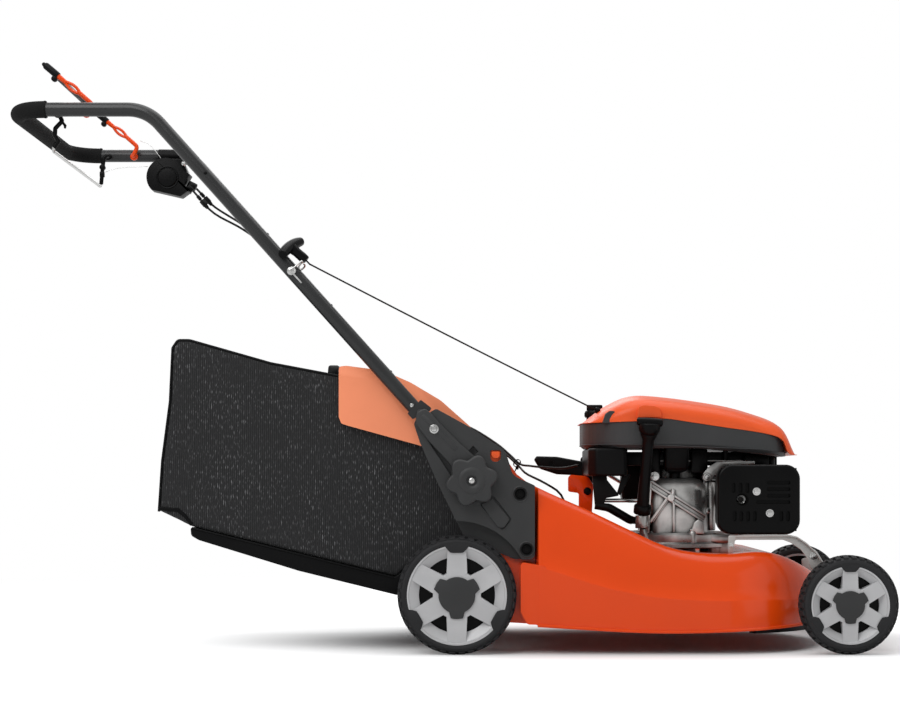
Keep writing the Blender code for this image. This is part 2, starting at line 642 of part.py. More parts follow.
def build_height_gear():
    """The cutting-height lever, its quadrant, and the rod to the front axle."""
    x, z = LEVER_PIVOT
    back, front = (0.212, between(SHOULDER_LINE, 0.212) + GAP), (0.261, between(SHOULDER_LINE, 0.261) + GAP)
    bend = (0.234, between(SHOULDER_LINE, 0.234) + GAP)
    plate = [back, bend, front, (0.268, z + 0.012), (0.256, z + 0.030), (0.212, z + 0.034)]
    quadrant = piece("height_quadrant", extruded(plate, LEVER_Y - 0.018, LEVER_Y - 0.0105), "orange")
    cut(quadrant, extruded(arc((x, z), 0.007 + RUNNING, 0, 345, 23), LEVER_Y - 0.03, LEVER_Y))

    pivot = (x, LEVER_Y, z)
    outline = [
        (x - 0.008, z - 0.012), (x + 0.010, z - 0.010), (x + 0.012, z + 0.042), (x - 0.006, z + 0.062),
        (x - 0.100, z + 0.069), (x - 0.105, z + 0.062), (x - 0.092, z + 0.046), (x - 0.020, z + 0.038),
    ]
    rounded = fillet(outline, [0.006, 0.006, 0.01, 0.01, 0.004, 0.004, 0.01, 0.01], 3)
    side_view = [(p.x, p.y) for p in rounded]
    lever = piece("height_lever", extruded(side_view, LEVER_Y - 0.010, LEVER_Y + 0.010), "black", pivot)
    add(lever, cylinder((x, LEVER_Y - 0.022, z), (x, LINK_Y - 0.008, z), 0.007, 12))
    crank = capsule((x, z), (x, z + LEVER_CRANK), 0.011, 0.009)
    add(lever, extruded(crank, LINK_Y - 0.0125, LINK_Y - 0.0065))

    rear = (x, LINK_Y, z + LEVER_CRANK)
    front_eye = (LINK_FRONT[0], LINK_Y, LINK_FRONT[1])
    bends = [rear, (0.500, LINK_Y, 0.1945), (WHEELBASE - 0.030, LINK_Y, 0.1945), front_eye]
    route = fillet(bends, 0.030, 4, closed=False)
    rod = piece("link_rod", swept(route, LINK_RADIUS, 10), "steel")
    for eye in (rear, front_eye):
        low, high = LINK_Y - 0.0062, LINK_Y + 0.005
        add(rod, cylinder((eye[0], low, eye[2]), (eye[0], high, eye[2]), 0.008, 12))


def build_front_stay():
    """The bright stay: a strap from the deck's top on the right, a crossbar and a short plate on the left."""
    pivot = (WHEELBASE + SWING_ARM_FRONT, FRONT_RADIUS + SWING_RISE)
    outer = SWING_ARM_Y - 0.006
    inner = outer - 0.003
    foot = [(0.487, stay_seat(0.487)), (0.497, stay_seat(0.497)), (0.499, 0.1995)]
    below = [
        (WHEELBASE - 0.104, 0.1995), (WHEELBASE - 0.090, 0.194), (WHEELBASE - 0.072, 0.1815),
        (WHEELBASE - 0.0605, 0.166), (WHEELBASE - 0.054, 0.148),
    ]
    eye = [
        (WHEELBASE, 0.112), (pivot[0] - 0.014, pivot[1] - 0.006), (pivot[0], pivot[1] - 0.015),
        (pivot[0] + 0.014, pivot[1]), (pivot[0] + 0.004, pivot[1] + 0.022), (WHEELBASE + 0.015, 0.152),
    ]
    above = [
        (WHEELBASE - 0.032, 0.1585), (WHEELBASE - 0.047, 0.180), (WHEELBASE - 0.063, 0.195),
        (WHEELBASE - 0.079, 0.2055), (WHEELBASE - 0.092, 0.2083), (0.487, 0.2075),
    ]
    stay = piece("front_stay", mirrored_extrusion(foot + below + eye + above, inner, outer, -1), "silver")
    add(stay, mirrored_extrusion([(WHEELBASE - 0.004, 0.148)] + eye, inner, outer, 1))
    bar = pivot[0] - 0.038
    add(stay, box(bar, bar + 0.018, -inner - 0.001, inner + 0.001, 0.124, 0.128))
    past = outer + 0.010
    cut(stay, cylinder((pivot[0], -past, pivot[1]), (pivot[0], past, pivot[1]), SWING_TUBE_RADIUS + RUNNING, 12))


def stay_seat(x):
    """The height of the stay's foot, just above the deck's shoulder."""
    return between(SHOULDER_LINE, x) + 0.0012


def slope_point(height):
    """A place on the handle leg's centre line at a height, as (x, z)."""
    (x0, z0), (x1, z1) = HANDLE_FOOT, HANDLE_CORNER
    return x0 + (x1 - x0) * (height - z0) / (z1 - z0), height


def build_handle():
    """The folding handle: bent tube, foam grip, arms, knobs, bails, control box, rope guide and starter grip."""
    pivot = (FOLD_PIVOT[0], 0, FOLD_PIVOT[1])
    foot_x, foot_z = HANDLE_FOOT
    corner_x, top = HANDLE_CORNER
    route = [
        (foot_x, -HANDLE_Y, foot_z), (corner_x, -HANDLE_Y, top), (HANDLE_REAR, -HANDLE_Y, top),
        (HANDLE_REAR, HANDLE_Y, top), (corner_x, HANDLE_Y, top), (foot_x, HANDLE_Y, foot_z),
    ]
    bends = [0, 0.070, HANDLE_BEND, HANDLE_BEND, 0.070, 0]
    piece("handle_tube", swept(fillet(route, bends, 5, closed=False), TUBE_RADIUS, 10), "black", pivot)
    sleeve = [(HANDLE_REAR + GRIP_REACH, -HANDLE_Y, top), *route[2:4], (HANDLE_REAR + GRIP_REACH, HANDLE_Y, top)]
    path = fillet(sleeve, HANDLE_BEND, 5, closed=False)
    piece("handle_grip", swept(path, GRIP_RADIUS, 10, bore=TUBE_RADIUS + GAP), "foam", pivot)

    px, pz = FOLD_PIVOT
    for side, hand in ((-1, "right"), (1, "left")):
        low, high = BRACKET_OUTER + GAP, BRACKET_OUTER + GAP + ARM_THICK
        upper = capsule((-0.061, 0.418), (px, pz), 0.021, 0.030)
        arm = piece("handle_arm_" + hand, mirrored_extrusion(upper, low, high, side), "dark_grey", pivot)
        tab = capsule((px, pz), (px + 0.026, pz - 0.050), 0.015)
        add(arm, mirrored_extrusion(tab, low + 0.001, high - 0.002, side))
        first, second = slope_point(0.450), slope_point(0.434)
        boss = capsule(first, second, 0.009)
        add(arm, mirrored_extrusion(boss, HANDLE_Y + TUBE_RADIUS + GAP, low + 0.004, side))

        start, end = high + GAP, TRACK_OUTER - 0.0005
        star = lobed((px, pz), KNOB_RADIUS, KNOB_LOBE_DEPTH, 6, 36, -side * KNOB_TURN)
        knob = piece("star_knob_" + hand, mirrored_extrusion(star, start, end - 0.004, side), "dark_grey", pivot)
        add(knob, cylinder((px, side * (end - 0.006), pz), (px, side * end, pz), 0.015, 16))
    build_bails()
    build_control_box()
    build_starter_grip()
    build_cables()


def build_bails():
    """The engine-stop bail that stands up and the drive bail that hangs down, each in the handle's legs."""
    inside = HANDLE_Y - TUBE_RADIUS - GAP
    px, pz = STOP_BAIL_PIVOT
    angle = math.radians(STOP_BAIL_ANGLE)
    tip = (px - STOP_BAIL_LENGTH * math.cos(angle), pz + STOP_BAIL_LENGTH * math.sin(angle))
    for name, pivot, end, finish, radius in (
        ("engine_stop_bail", STOP_BAIL_PIVOT, tip, "orange", 0.004),
        ("drive_bail", DRIVE_BAIL_PIVOT, DRIVE_BAIL_FOOT, "steel", 0.003),
    ):
        arm_y = inside - (0.012 if name == "engine_stop_bail" else 0.022)
        route = [
            (pivot[0], -inside, pivot[1]), (pivot[0], -arm_y, pivot[1]), (end[0], -arm_y, end[1]),
            (end[0], arm_y, end[1]), (pivot[0], arm_y, pivot[1]), (pivot[0], inside, pivot[1]),
        ]
        bends = [0, 0.008, 0.020, 0.020, 0.008, 0]
        bar = swept(fillet(route, bends, 3, closed=False), radius, 10)
        piece(name, bar, finish, (pivot[0], 0, pivot[1]))


def build_control_box():
    """The round control box under the left side of the handle."""
    cx, cz = -0.596, 0.919
    radius = 0.039
    inner, outer = HANDLE_Y - TUBE_RADIUS - 0.036, HANDLE_Y - TUBE_RADIUS - 0.001
    flat = cz - 0.041
    disc = arc((cx, cz), radius, -15, 195, 12)
    outline = [(cx - radius + 0.006, flat), (cx + radius - 0.008, flat), (-0.548, cz - 0.012)] + disc
    control = piece("control_box", extruded(outline, inner, outer), "black")
    neck_top = HANDLE_CORNER[1] - TUBE_RADIUS - 2 * GAP
    add(control, box(cx - 0.016, cx + 0.016, inner + 0.008, HANDLE_Y + 0.004, cz + 0.020, neck_top))
    add(control, cylinder((cx, inner - 0.004, cz), (cx, inner + 0.004, cz), 0.019, 16))
    add(control, cylinder((-0.560, HANDLE_Y - 0.030, 0.906), CABLE_GLAND, 0.006, 12))


def build_starter_grip():
    """The starter grip, the wire guide on the right leg and the rope down to the engine."""
    gx, gy, gz = ROPE_GUIDE
    along = Vector((-0.759, 0, 0.651)).normalized()
    base = Vector(ROPE_GUIDE) + along * 0.008
    head = base + along * 0.038
    grip = piece("starter_grip", cylinder(base, head, 0.007, 12), "black")
    across = Vector((0.651 * 0.57, 0.82, 0.759 * 0.57)).normalized()
    add(grip, cylinder(head - across * 0.035, head + across * 0.035, 0.0095, 12))

    face = -(HANDLE_Y + TUBE_RADIUS + GAP)
    mark = slope_point(0.678)
    guide = piece(
        "rope_guide", cylinder((mark[0], face, mark[1]), (mark[0], face - 0.006, mark[1]), 0.0075, 12), "steel"
    )
    wire_y = face - 0.003
    loop = arc((gx, gz), 0.0065, 215, -60, 10)
    route = [(mark[0], wire_y, mark[1])] + [(x, wire_y + 0.0125 * k / 10, z) for k, (x, z) in enumerate(loop)]
    add(guide, swept(route, 0.002, 8))

    rest = Vector(ROPE_REST)
    rope = Vector(ROPE_OUTLET) - rest
    end = rest + rope * (1 - 0.004 / rope.length)
    piece("starter_rope", swept([base - along * 2 * GAP, rest, rest + rope * 0.5, end], ROPE_RADIUS, 8), "black")


def smooth_route(spots, spacing):
    """A smooth curve through a cord's own points, cut into even steps."""
    points = [Vector(s) for s in spots]
    padded = [points[0] * 2 - points[1], *points, points[-1] * 2 - points[-2]]
    fine = []
    for i in range(1, len(padded) - 2):
        a, b, c, d = padded[i - 1: i + 3]
        for k in range(24):
            t = k / 24
            fine.append(
                0.5 * ((2 * b) + (c - a) * t + (2 * a - 5 * b + 4 * c - d) * t * t + (3 * b - a - 3 * c + d) * t ** 3)
            )
    fine.append(points[-1])
    out = [fine[0]]
    for spot in fine[1:-1]:
        if (spot - out[-1]).length >= spacing:
            out.append(spot)
    out.append(fine[-1])
    return out


def cord(name, spots, radius, spacing):
    """A cord laid along its points."""
    route = smooth_route(spots, spacing)
    curve = bpy.data.curves.new(name, "CURVE")
    curve.dimensions = "3D"
    curve.bevel_depth = radius
    curve.bevel_resolution = 2
    curve.use_fill_caps = True
    line = curve.splines.new("POLY")
    line.points.add(len(route) - 1)
    for point, spot in zip(line.points, route):
        point.co = (*spot, 1.0)
    made = bpy.data.objects.new(name, curve)
    bpy.context.scene.collection.objects.link(made)
    made.parent = bpy.data.objects["mower"]
    curve.materials.append(finish_material(name + "_finish", "black"))


def build_cables():
    """The engine-stop cable and the drive cable, from the control box down the left leg."""
    cord("engine_stop_cable", STOP_CABLE_ROUTE, 0.0022, 0.030)
    cord("drive_cable", DRIVE_CABLE_ROUTE, 0.0022, 0.030)


def plan_outline(half_width, rear, front, rear_round, front_round):
    """The engine housing's outline seen from above."""
    corners = [(rear, -half_width), (front, -half_width), (front, half_width), (rear, half_width)]
    points = fillet(corners, [rear_round, front_round, front_round, rear_round], 4)
    return [(p.x, p.y) for p in points]


def build_engine():
    """The engine from its sump up to its cover, with what turns inside."""
    build_crankcase()
    build_rotor()
    build_housing()
    build_tank_and_filler()
    build_exhaust()
    build_air_filter()


def build_crankcase():
    """The crankcase with its sump flange, and the finned cylinder head in front of it."""
    axis = (CRANK_X, 0, 0)
    up = (0, 0, 1)
    bore = SHAFT_RADIUS + RUNNING
    sump = [
        (bore, 0.1655), (ENGINE_SPIGOT, 0.1655), (ENGINE_SPIGOT, 0.180), (0.117, 0.180), (0.117, 0.190),
        (0.110, 0.193), (0.107, 0.209), (0.060, 0.212), (0.060, 0.330), (0.040, 0.335), (0.040, HOUSING_FLOOR - GAP),
        (bore, HOUSING_FLOOR - GAP),
    ]
    case = piece("crankcase", turned(sump, axis, up, 20), "cast")
    body = fillet([(0.343, -0.096), (0.468, -0.096), (0.468, 0.096), (0.343, 0.096)], 0.030, 2)
    add(case, extruded([(p.x, p.y) for p in body], 0.2075, 0.312, "Z"))
    for k in range(4):
        angle = math.radians(45 + 90 * k)
        x, y = CRANK_X + 0.102 * math.cos(angle), 0.102 * math.sin(angle)
        add(case, cylinder((x, y, PLATE_Z + GAP), (x, y, 0.182), 0.011, 12))
    fx, fy, fz = FILLER_FOOT
    add(case, cylinder((fx + 0.014, -0.070, fz - 0.016), (fx - 0.001, fy + 0.001, fz - 0.0165), 0.011, 12))
    add(case, cylinder((fx, fy, fz - 0.027), (fx, fy, fz - 0.004), FILLER_RADIUS + 0.0005, 12))
    cut(case, cylinder((CRANK_X, 0, 0.1), (CRANK_X, 0, 0.4), bore, 16))

    head = piece("cylinder_head", box(0.4683, 0.530, -0.050, 0.050, 0.226, 0.330), "cast")
    for k in range(5):
        z = 0.236 + 0.019 * k
        add(head, box(0.476, HEAD_FRONT, -0.062, 0.062, z, z + 0.006))
    plug_z = 0.284
    plug = [
        (0, 0), (0.009, 0), (0.009, 0.012), (0.006, 0.013), (0.006, 0.022), (0.011, 0.024), (0.011, 0.052),
        (0.004, 0.058), (0, 0.058),
    ]
    piece("spark_plug", turned(plug, (0.530 + GAP, 0.025, plug_z), (1, 0, 0), 12), "black")
    cut(head, cylinder((0.530, 0.025, plug_z), (0.56, 0.025, plug_z), 0.0125, 12))


def build_rotor():
    """Crankshaft with its flywheel, blade adapter with the belt pulley, and the blade."""
    axis = (CRANK_X, 0, 0)
    up = (0, 0, 1)
    fly_low = HOUSING_FLOOR + WALL + 0.005
    shaft = [
        (0, 0.046), (0.014, 0.046), (0.014, 0.0558), (0.009, 0.0558), (0.009, 0.0655), (SHAFT_RADIUS, 0.0655),
        (SHAFT_RADIUS, fly_low), (0.080, fly_low), (0.085, fly_low + 0.012), (0.030, fly_low + 0.016),
        (0.012, fly_low + 0.026), (0, fly_low + 0.026),
    ]
    piece("crankshaft", turned(shaft, axis, up, 16), "steel", axis)
    bore, hub, groove = SHAFT_RADIUS + GAP, 0.019, 0.005
    adapter = [
        (bore, 0.0656), (0.032, 0.0656), (0.032, 0.074), (hub, 0.078), (hub, BELT_Z - 0.0075),
        (PULLEY_RADIUS, BELT_Z - 0.0075), (PULLEY_RADIUS - groove, BELT_Z), (PULLEY_RADIUS, BELT_Z + 0.0075),
        (hub, BELT_Z + 0.0085), (hub, 0.1645), (bore, 0.1645),
    ]
    piece("blade_adapter", turned(adapter, axis, up, 16), "grey", axis)
    half, wide = BLADE_LENGTH / 2, 0.026
    low, high = 0.0562, 0.0652
    plan = [
        (-wide, -half * 0.55), (-wide, -half + 0.012), (wide * 0.7, -half), (wide, -half * 0.72), (wide, half * 0.55),
        (wide, half - 0.012), (-wide * 0.7, half), (-wide, half * 0.72),
    ]
    outline = [(CRANK_X + x, y) for x, y in plan]
    blade = piece("blade", extruded(outline, high - 0.004, high, "Z"), "steel", axis)
    cut(blade, cylinder((CRANK_X, 0, low - 0.01), (CRANK_X, 0, high + 0.01), 0.009 + GAP, 16))
    cut(blade, cylinder((CRANK_X, 0, low - 0.01), (CRANK_X, 0, 0.0614), 0.0148, 16))
    for turn in (-1, 1):
        x0, x1 = CRANK_X - turn * (wide - 0.0005), CRANK_X - turn * (wide - 0.004)
        y0, y1 = turn * half * 0.76, turn * (half - 0.016)
        add(blade, box(min(x0, x1), max(x0, x1), min(y0, y1), max(y0, y1), high - 0.003, high + 0.014))


def build_housing():
    """The grey blower housing and the orange cover on it."""
    plan = plan_outline(HOUSING_HALF_WIDTH, 0.2285, 0.5965, 0.100, 0.055)
    housing = piece("blower_housing", extruded(plan, 0.33, 0.45, "Z"), "grey")
    outline = [(x, z) for x, z in PARTING_LINE] + HOUSING_UNDERSIDE
    combine(housing, extruded(outline, -0.2, 0.2), "INTERSECT")
    inner = plan_outline(HOUSING_HALF_WIDTH - WALL, 0.2285 + WALL, 0.5965 - WALL, 0.097, 0.052)
    hollow = extruded(inner, HOUSING_FLOOR + WALL, 0.46, "Z")
    cut(housing, hollow)
    cut(housing, cylinder((CRANK_X, 0, 0.3), (CRANK_X, 0, 0.4), SHAFT_RADIUS + 0.0015, 16))
    cut(housing, cylinder((*TANK_NECK, 0.3), (*TANK_NECK, 0.4), 0.0165, 16))

    plan = plan_outline(HOUSING_HALF_WIDTH + 0.001, 0.2275, 0.642, 0.100, 0.070)
    cover = piece("top_cover", extruded(plan, 0.33, 0.50, "Z"), "orange")
    base = [(x, z + GAP) for x, z in PARTING_LINE]
    base[0] = (0.2275, base[0][1])
    base[-1] = (0.5970, COVER_TOP[0][1])
    combine(cover, extruded(base + COVER_TOP, -0.2, 0.2), "INTERSECT")
    inner = plan_outline(HOUSING_HALF_WIDTH - WALL, 0.2305, 0.637, 0.097, 0.065)
    top = [(0.632, 0.345), (0.632, 0.371), (0.617, 0.403), (0.603, 0.4155), (0.571, 0.427)]
    top += [(x, z - 0.0035) for x, z in COVER_TOP[5:]]
    room = extruded(inner, 0.32, 0.49, "Z")
    shape = [(0.2340, 0.400)] + [(0.600, 0.30), (0.632, 0.30)] + top + [(0.2340, 0.4155)]
    cavity = link_object("top_cover_cavity", room, cover.location)
    cavity.hide_render = True
    cavity.display_type = "WIRE"
    combine(cavity, extruded(shape, -0.19, 0.19), "INTERSECT")
    change = cover.modifiers.new("hollow", "BOOLEAN")
    change.operation = "DIFFERENCE"
    change.object = cavity
    cut(cover, cylinder((*TANK_NECK, 0.4), (*TANK_NECK, 0.48), 0.0235, 16))
    along = (Vector(ROPE_GUIDE) - Vector(ROPE_OUTLET)).normalized()
    start, end = Vector(ROPE_OUTLET) - along * 0.03, Vector(ROPE_OUTLET) + along * 0.03
    cut(cover, cylinder(start, end, ROPE_RADIUS + GAP, 12))


def build_tank_and_filler():
    """The fuel tank with its cap, and the oil filler tube with its dipstick."""
    top = HOUSING_FLOOR - GAP
    tank = piece("fuel_tank", box(0.232, 0.311, -0.140, 0.112, 0.3145, top), "black")
    x, y = TANK_NECK
    add(tank, cylinder((x, y, top - 0.004), (x, y, 0.428), 0.016, 16))
    cap = [(0, 0.4283), (0.0215, 0.4283), (0.0225, 0.430), (0.0225, 0.449), (0.020, 0.452), (0, 0.452)]
    cap_piece = piece("fuel_cap", turned(cap, (x, y, 0), (0, 0, 1), 28), "black", (x, y, 0))
    add(cap_piece, box(x - 0.019, x + 0.019, y - 0.004, y + 0.004, 0.450, 0.4565))

    foot, head = Vector(FILLER_FOOT), Vector(FILLER_TOP)
    along = (head - foot).normalized()
    tube = piece("oil_filler_tube", cylinder(foot, head, FILLER_RADIUS, 16), "black")
    cut(tube, cylinder(foot + along * 0.006, head + along * 0.01, FILLER_RADIUS - 0.0025, 12))
    stick = piece("oil_dipstick", cylinder(head + along * GAP, head + along * 0.022, 0.0165, 16), "black", FILLER_TOP)
    add(stick, cylinder(head - along * 0.110, head + along * 0.004, 0.0025, 10))
    wing = along.cross(Vector((0, 1, 0))).normalized() * 0.026
    crown = head + along * 0.021
    add(stick, cylinder(crown - wing, crown + wing, 0.0075, 14))


def build_exhaust():
    """The muffler and the slotted guard over it."""
    x0, x1, z0, z1 = 0.468, 0.617, 0.209, 0.330
    face = -0.200
    muffler = piece("muffler", box(0.484, 0.602, -0.178, -0.112, 0.224, 0.316), "steel")
    add(muffler, cylinder((0.500, -0.113, 0.272), (0.500, -0.062 - GAP, 0.272), 0.013, 12))
    corners = fillet([(x0, z0), (x1, z0), (x1, z1), (x0, z1)], 0.026, 3)
    outline = [(p.x, p.y) for p in corners]
    guard = piece("muffler_guard", extruded(outline, face, -0.160), "black")
    cut(guard, extruded(inset(outline, 0.0025), face + 0.0025, -0.150))
    for x, z in ((0.538, 0.2865), (0.5617, 0.2475)):
        add(guard, cylinder((x, face - 0.002, z), (x, -0.178 - GAP, z), 0.0055, 12))
    slots = [(0.4965 + 0.0125 * k, 0.293, 0.0032, 0.009) for k in range(3)]
    slots += [(0.5775, 0.3025 - 0.0118 * k, 0.0213, 0.0032) for k in range(3)]
    slots += [(0.5680, 0.2675, 0.0308, 0.0032)]
    slots += [(x, 0.242, 0.0032, 0.009) for x in (0.4985, 0.5105, 0.5225, 0.5345, 0.5825, 0.5945)]
    for x, z, half_x, half_z in slots:
        cut(guard, box(x - half_x, x + half_x, face - 0.01, face + 0.01, z - half_z, z + half_z))
    cut(guard, cylinder((0.512, face - 0.01, 0.272), (0.512, face + 0.01, 0.272), 0.0115, 12))


def build_air_filter():
    """The air filter box on the engine's left side."""
    case = [(0.318, 0.262), (0.420, 0.262), (0.420, 0.352), (0.318, 0.352)]
    rounded = [(p.x, p.y) for p in fillet(case, 0.014, 4)]
    filter_box = piece("air_filter_box", extruded(rounded, 0.112, 0.168), "black")
    add(filter_box, cylinder((0.375, 0.0963, 0.290), (0.375, 0.116, 0.290), 0.017, 12))


def build_bag():
    """The grass bag, its base tray, mouth frame and grip, and the flap with its rod."""
    outline = BAG_TOP + BAG_REAR + BAG_BOTTOM
    bag = piece("bag", extruded(outline, -BAG_HALF_WIDTH, BAG_HALF_WIDTH), "fabric")
    room = [tuple(p) for p in inset(outline, BAG_WALL)]
    room = [(x if x < BAG_MOUTH_X - 2 * BAG_WALL else BAG_MOUTH_X + 0.01, z) for x, z in room]
    half = BAG_HALF_WIDTH - BAG_WALL
    cut(bag, extruded(room, -half, half))
    top = [(x, z - BASE_DROP) for x, z in BAG_BOTTOM[:3]]
    tray = top + [(-0.052, 0.166), (-0.104, 0.099), (-0.286, 0.144), (-0.468, 0.200)]
    piece("bag_base", extruded(tray, -BAG_HALF_WIDTH, BAG_HALF_WIDTH), "black")

    x0, x1 = BAG_MOUTH_X + GAP, DECK_REAR - RUNNING
    outer = BAG_HALF_WIDTH - 0.004
    inner = outer - BAG_FRAME_BAR
    frame = piece("bag_frame", box(x0, x1, -outer, outer, 0.170, 0.360), "black")
    cut(frame, box(x0 - 0.01, x1 + 0.01, -inner, inner, 0.184, 0.344))
    rear_grip = -0.2305
    low = between(sorted(BAG_TOP), rear_grip) + 0.0018
    half = 0.060
    high = low + 0.022
    route = [(rear_grip, -half, low), (rear_grip, -half, high), (rear_grip, half, high), (rear_grip, half, low)]
    piece("bag_handle", swept(fillet(route, 0.012, 3, closed=False), 0.0065, 10), "black")
    build_flap()


def build_flap():
    """The orange rear flap: a top panel with side skirts, hinged on a rod between the brackets."""
    hx, hz = FLAP_HINGE
    top = [
        (0.022, 0.404), (-0.031, 0.451), (-0.085, 0.483), (-0.134, 0.504), (-0.200, 0.5125), (-0.213, 0.511),
    ]
    low_edge = [(-0.213, 0.406), (-0.2085, 0.390), (-0.192, 0.3845), (-0.064, 0.368), (0.018, 0.356), (0.0315, 0.390)]
    outline = top + low_edge
    flap = piece("rear_flap", extruded(outline, -FLAP_HALF_WIDTH, FLAP_HALF_WIDTH), "orange", (hx, 0, hz))
    below = [(0.0205, 0.4010), (-0.033, 0.4475), (-0.0865, 0.4797), (-0.1349, 0.5008), (-0.26, 0.5095)]
    room = below + [(-0.26, 0.30), (0.06, 0.30), (0.06, 0.3655), (0.0190, 0.3655), (0.0165, 0.392)]
    half = FLAP_HALF_WIDTH - FLAP_WALL
    cut(flap, extruded(room, -half, half))
    knuckle = FLAP_ROD_RADIUS + 0.0035
    add(flap, cylinder((hx, -FLAP_HALF_WIDTH + 0.0005, hz), (hx, FLAP_HALF_WIDTH - 0.0005, hz), knuckle, 12))
    past = FLAP_HALF_WIDTH + 0.005
    cut(flap, cylinder((hx, -past, hz), (hx, past, hz), FLAP_ROD_RADIUS + GAP, 12))
    rod_end = BRACKET_INNER - GAP
    piece("flap_rod", cylinder((hx, -rod_end, hz), (hx, rod_end, hz), FLAP_ROD_RADIUS, 12), "steel")


def main():
    """Build the mower."""
    clear_scene()
    mower = bpy.data.objects.new("mower", None)
    bpy.context.scene.collection.objects.link(mower)
    mower.location = (REAR_AXLE_X, 0, 0)
    build_deck()
    build_brackets()
    build_wheels()
    build_running_gear()
    build_height_gear()
    build_front_stay()
    build_engine()
    build_handle()
    build_bag()


main()
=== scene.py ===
from math import copysign, cos, hypot, pi, radians, sin, sqrt, tan

import bmesh
import bpy
from bpy.props import FloatProperty, FloatVectorProperty, IntProperty
from mathutils import Matrix, Vector
from mathutils import noise as ripples


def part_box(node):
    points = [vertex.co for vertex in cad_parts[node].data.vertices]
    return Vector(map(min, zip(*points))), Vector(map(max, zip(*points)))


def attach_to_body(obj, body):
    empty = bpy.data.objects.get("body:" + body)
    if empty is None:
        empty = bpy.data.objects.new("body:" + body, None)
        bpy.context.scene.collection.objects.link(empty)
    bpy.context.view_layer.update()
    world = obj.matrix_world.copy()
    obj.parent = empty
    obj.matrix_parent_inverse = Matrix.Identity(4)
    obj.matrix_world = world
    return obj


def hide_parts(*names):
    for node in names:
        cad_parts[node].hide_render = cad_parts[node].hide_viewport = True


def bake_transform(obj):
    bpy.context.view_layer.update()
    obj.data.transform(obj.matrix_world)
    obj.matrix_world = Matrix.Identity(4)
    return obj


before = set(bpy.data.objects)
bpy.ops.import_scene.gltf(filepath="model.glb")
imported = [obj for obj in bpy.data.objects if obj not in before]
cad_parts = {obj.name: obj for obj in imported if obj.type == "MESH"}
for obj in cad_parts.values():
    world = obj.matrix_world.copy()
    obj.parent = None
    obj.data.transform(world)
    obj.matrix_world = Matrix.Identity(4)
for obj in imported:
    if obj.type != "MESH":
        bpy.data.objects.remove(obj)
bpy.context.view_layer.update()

bl_info = {
    "name": "Petrol Lawn Mower",
    "version": (1, 0, 0),
    "blender": (4, 5, 0),
    "location": "3D View > Sidebar > Mower",
    "description": "Dresses the packed solids of a petrol lawn mower with its finished pieces, finishes and a studio",
    "category": "Object",
}

SHAFT_LOW, SHAFT_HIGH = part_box("rear_axle")
REAR_AXLE_X = (SHAFT_LOW.x + SHAFT_HIGH.x) / 2
REAR_AXLE_Z = (SHAFT_LOW.z + SHAFT_HIGH.z) / 2
TYRE_LOW, TYRE_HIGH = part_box("rear_right_tyre")
FRONT_LOW, FRONT_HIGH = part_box("front_right_tyre")
WHEEL_FACE = TYRE_LOW.y
SIDES = ((-1, "right"), (1, "left"))
SHARP_ANGLE = radians(35.0)


# ---------------------------------------------------------------- sizes and colours

class MowerSizes(bpy.types.PropertyGroup):
    """Sizes that shape the finished pieces."""

    tread_rows: IntProperty(name="Tread blocks", description="Blocks in each row round a tyre", default=38, min=12)
    deck_wall: FloatProperty(
        name="Deck wall", description="Thickness of the pressed deck", default=0.003, unit="LENGTH",
        subtype="DISTANCE",
    )
    tube_radius: FloatProperty(
        name="Handle tube radius", description="Radius of the handle's tube", default=0.0125, unit="LENGTH",
        subtype="DISTANCE",
    )
    rope_radius: FloatProperty(
        name="Rope radius", description="Radius of the starter rope", default=0.0015, unit="LENGTH",
        subtype="DISTANCE",
    )
    bag_sag: FloatProperty(
        name="Bag sag", description="How far the bag's cloth sinks between its frame's bars", default=0.006,
        unit="LENGTH", subtype="DISTANCE",
    )


class MowerColours(bpy.types.PropertyGroup):
    """Colours of the finishes, as linear values."""

    orange: FloatVectorProperty(
        name="Orange enamel", description="Enamel of the deck", default=(0.76, 0.062, 0.003), subtype="COLOR"
    )
    plastic: FloatVectorProperty(
        name="Orange plastic", description="Engine cover and pegs", default=(0.83, 0.105, 0.022), subtype="COLOR"
    )
    # The flap's paler colour is painted light: the same orange plastic, made lighter where strong light falls on the
    # flap.
    flap: FloatVectorProperty(
        name="Flap", description="Paler plastic of the rear flap", default=(0.94, 0.3, 0.15), subtype="COLOR"
    )
    dark: FloatVectorProperty(
        name="Dark grey", description="Brackets, arms and knobs", default=(0.029, 0.0295, 0.03), subtype="COLOR"
    )
    black: FloatVectorProperty(
        name="Black", description="Black plastic parts", default=(0.0024, 0.0024, 0.0026), subtype="COLOR"
    )
    silver: FloatVectorProperty(name="Silver", description="Wheel rims", default=(0.5, 0.5, 0.505), subtype="COLOR")
    cloth: FloatVectorProperty(
        name="Bag cloth", description="Woven mesh of the grass bag", default=(0.019, 0.019, 0.0195), subtype="COLOR"
    )
    floor: FloatVectorProperty(name="Floor", description="Studio floor", default=(0.8, 0.8, 0.8), subtype="COLOR")


# ---------------------------------------------------------------- finishes

FINISHES = {}


def add_node(tree, kind, inputs, output, **settings):
    """A new shader node's output; sockets among its inputs are linked, other values are set."""
    made = tree.nodes.new("ShaderNode" + kind)
    for name, value in settings.items():
        setattr(made, name, value)
    for name, value in inputs.items():
        if isinstance(value, bpy.types.NodeSocket):
            tree.links.new(value, made.inputs[name])
        else:
            made.inputs[name].default_value = value
    return made.outputs[output]


def maths(tree, operation, *values, **settings):
    """One sum or product of sockets and numbers."""
    return add_node(tree, "Math", dict(enumerate(values)), "Value", operation=operation, **settings)


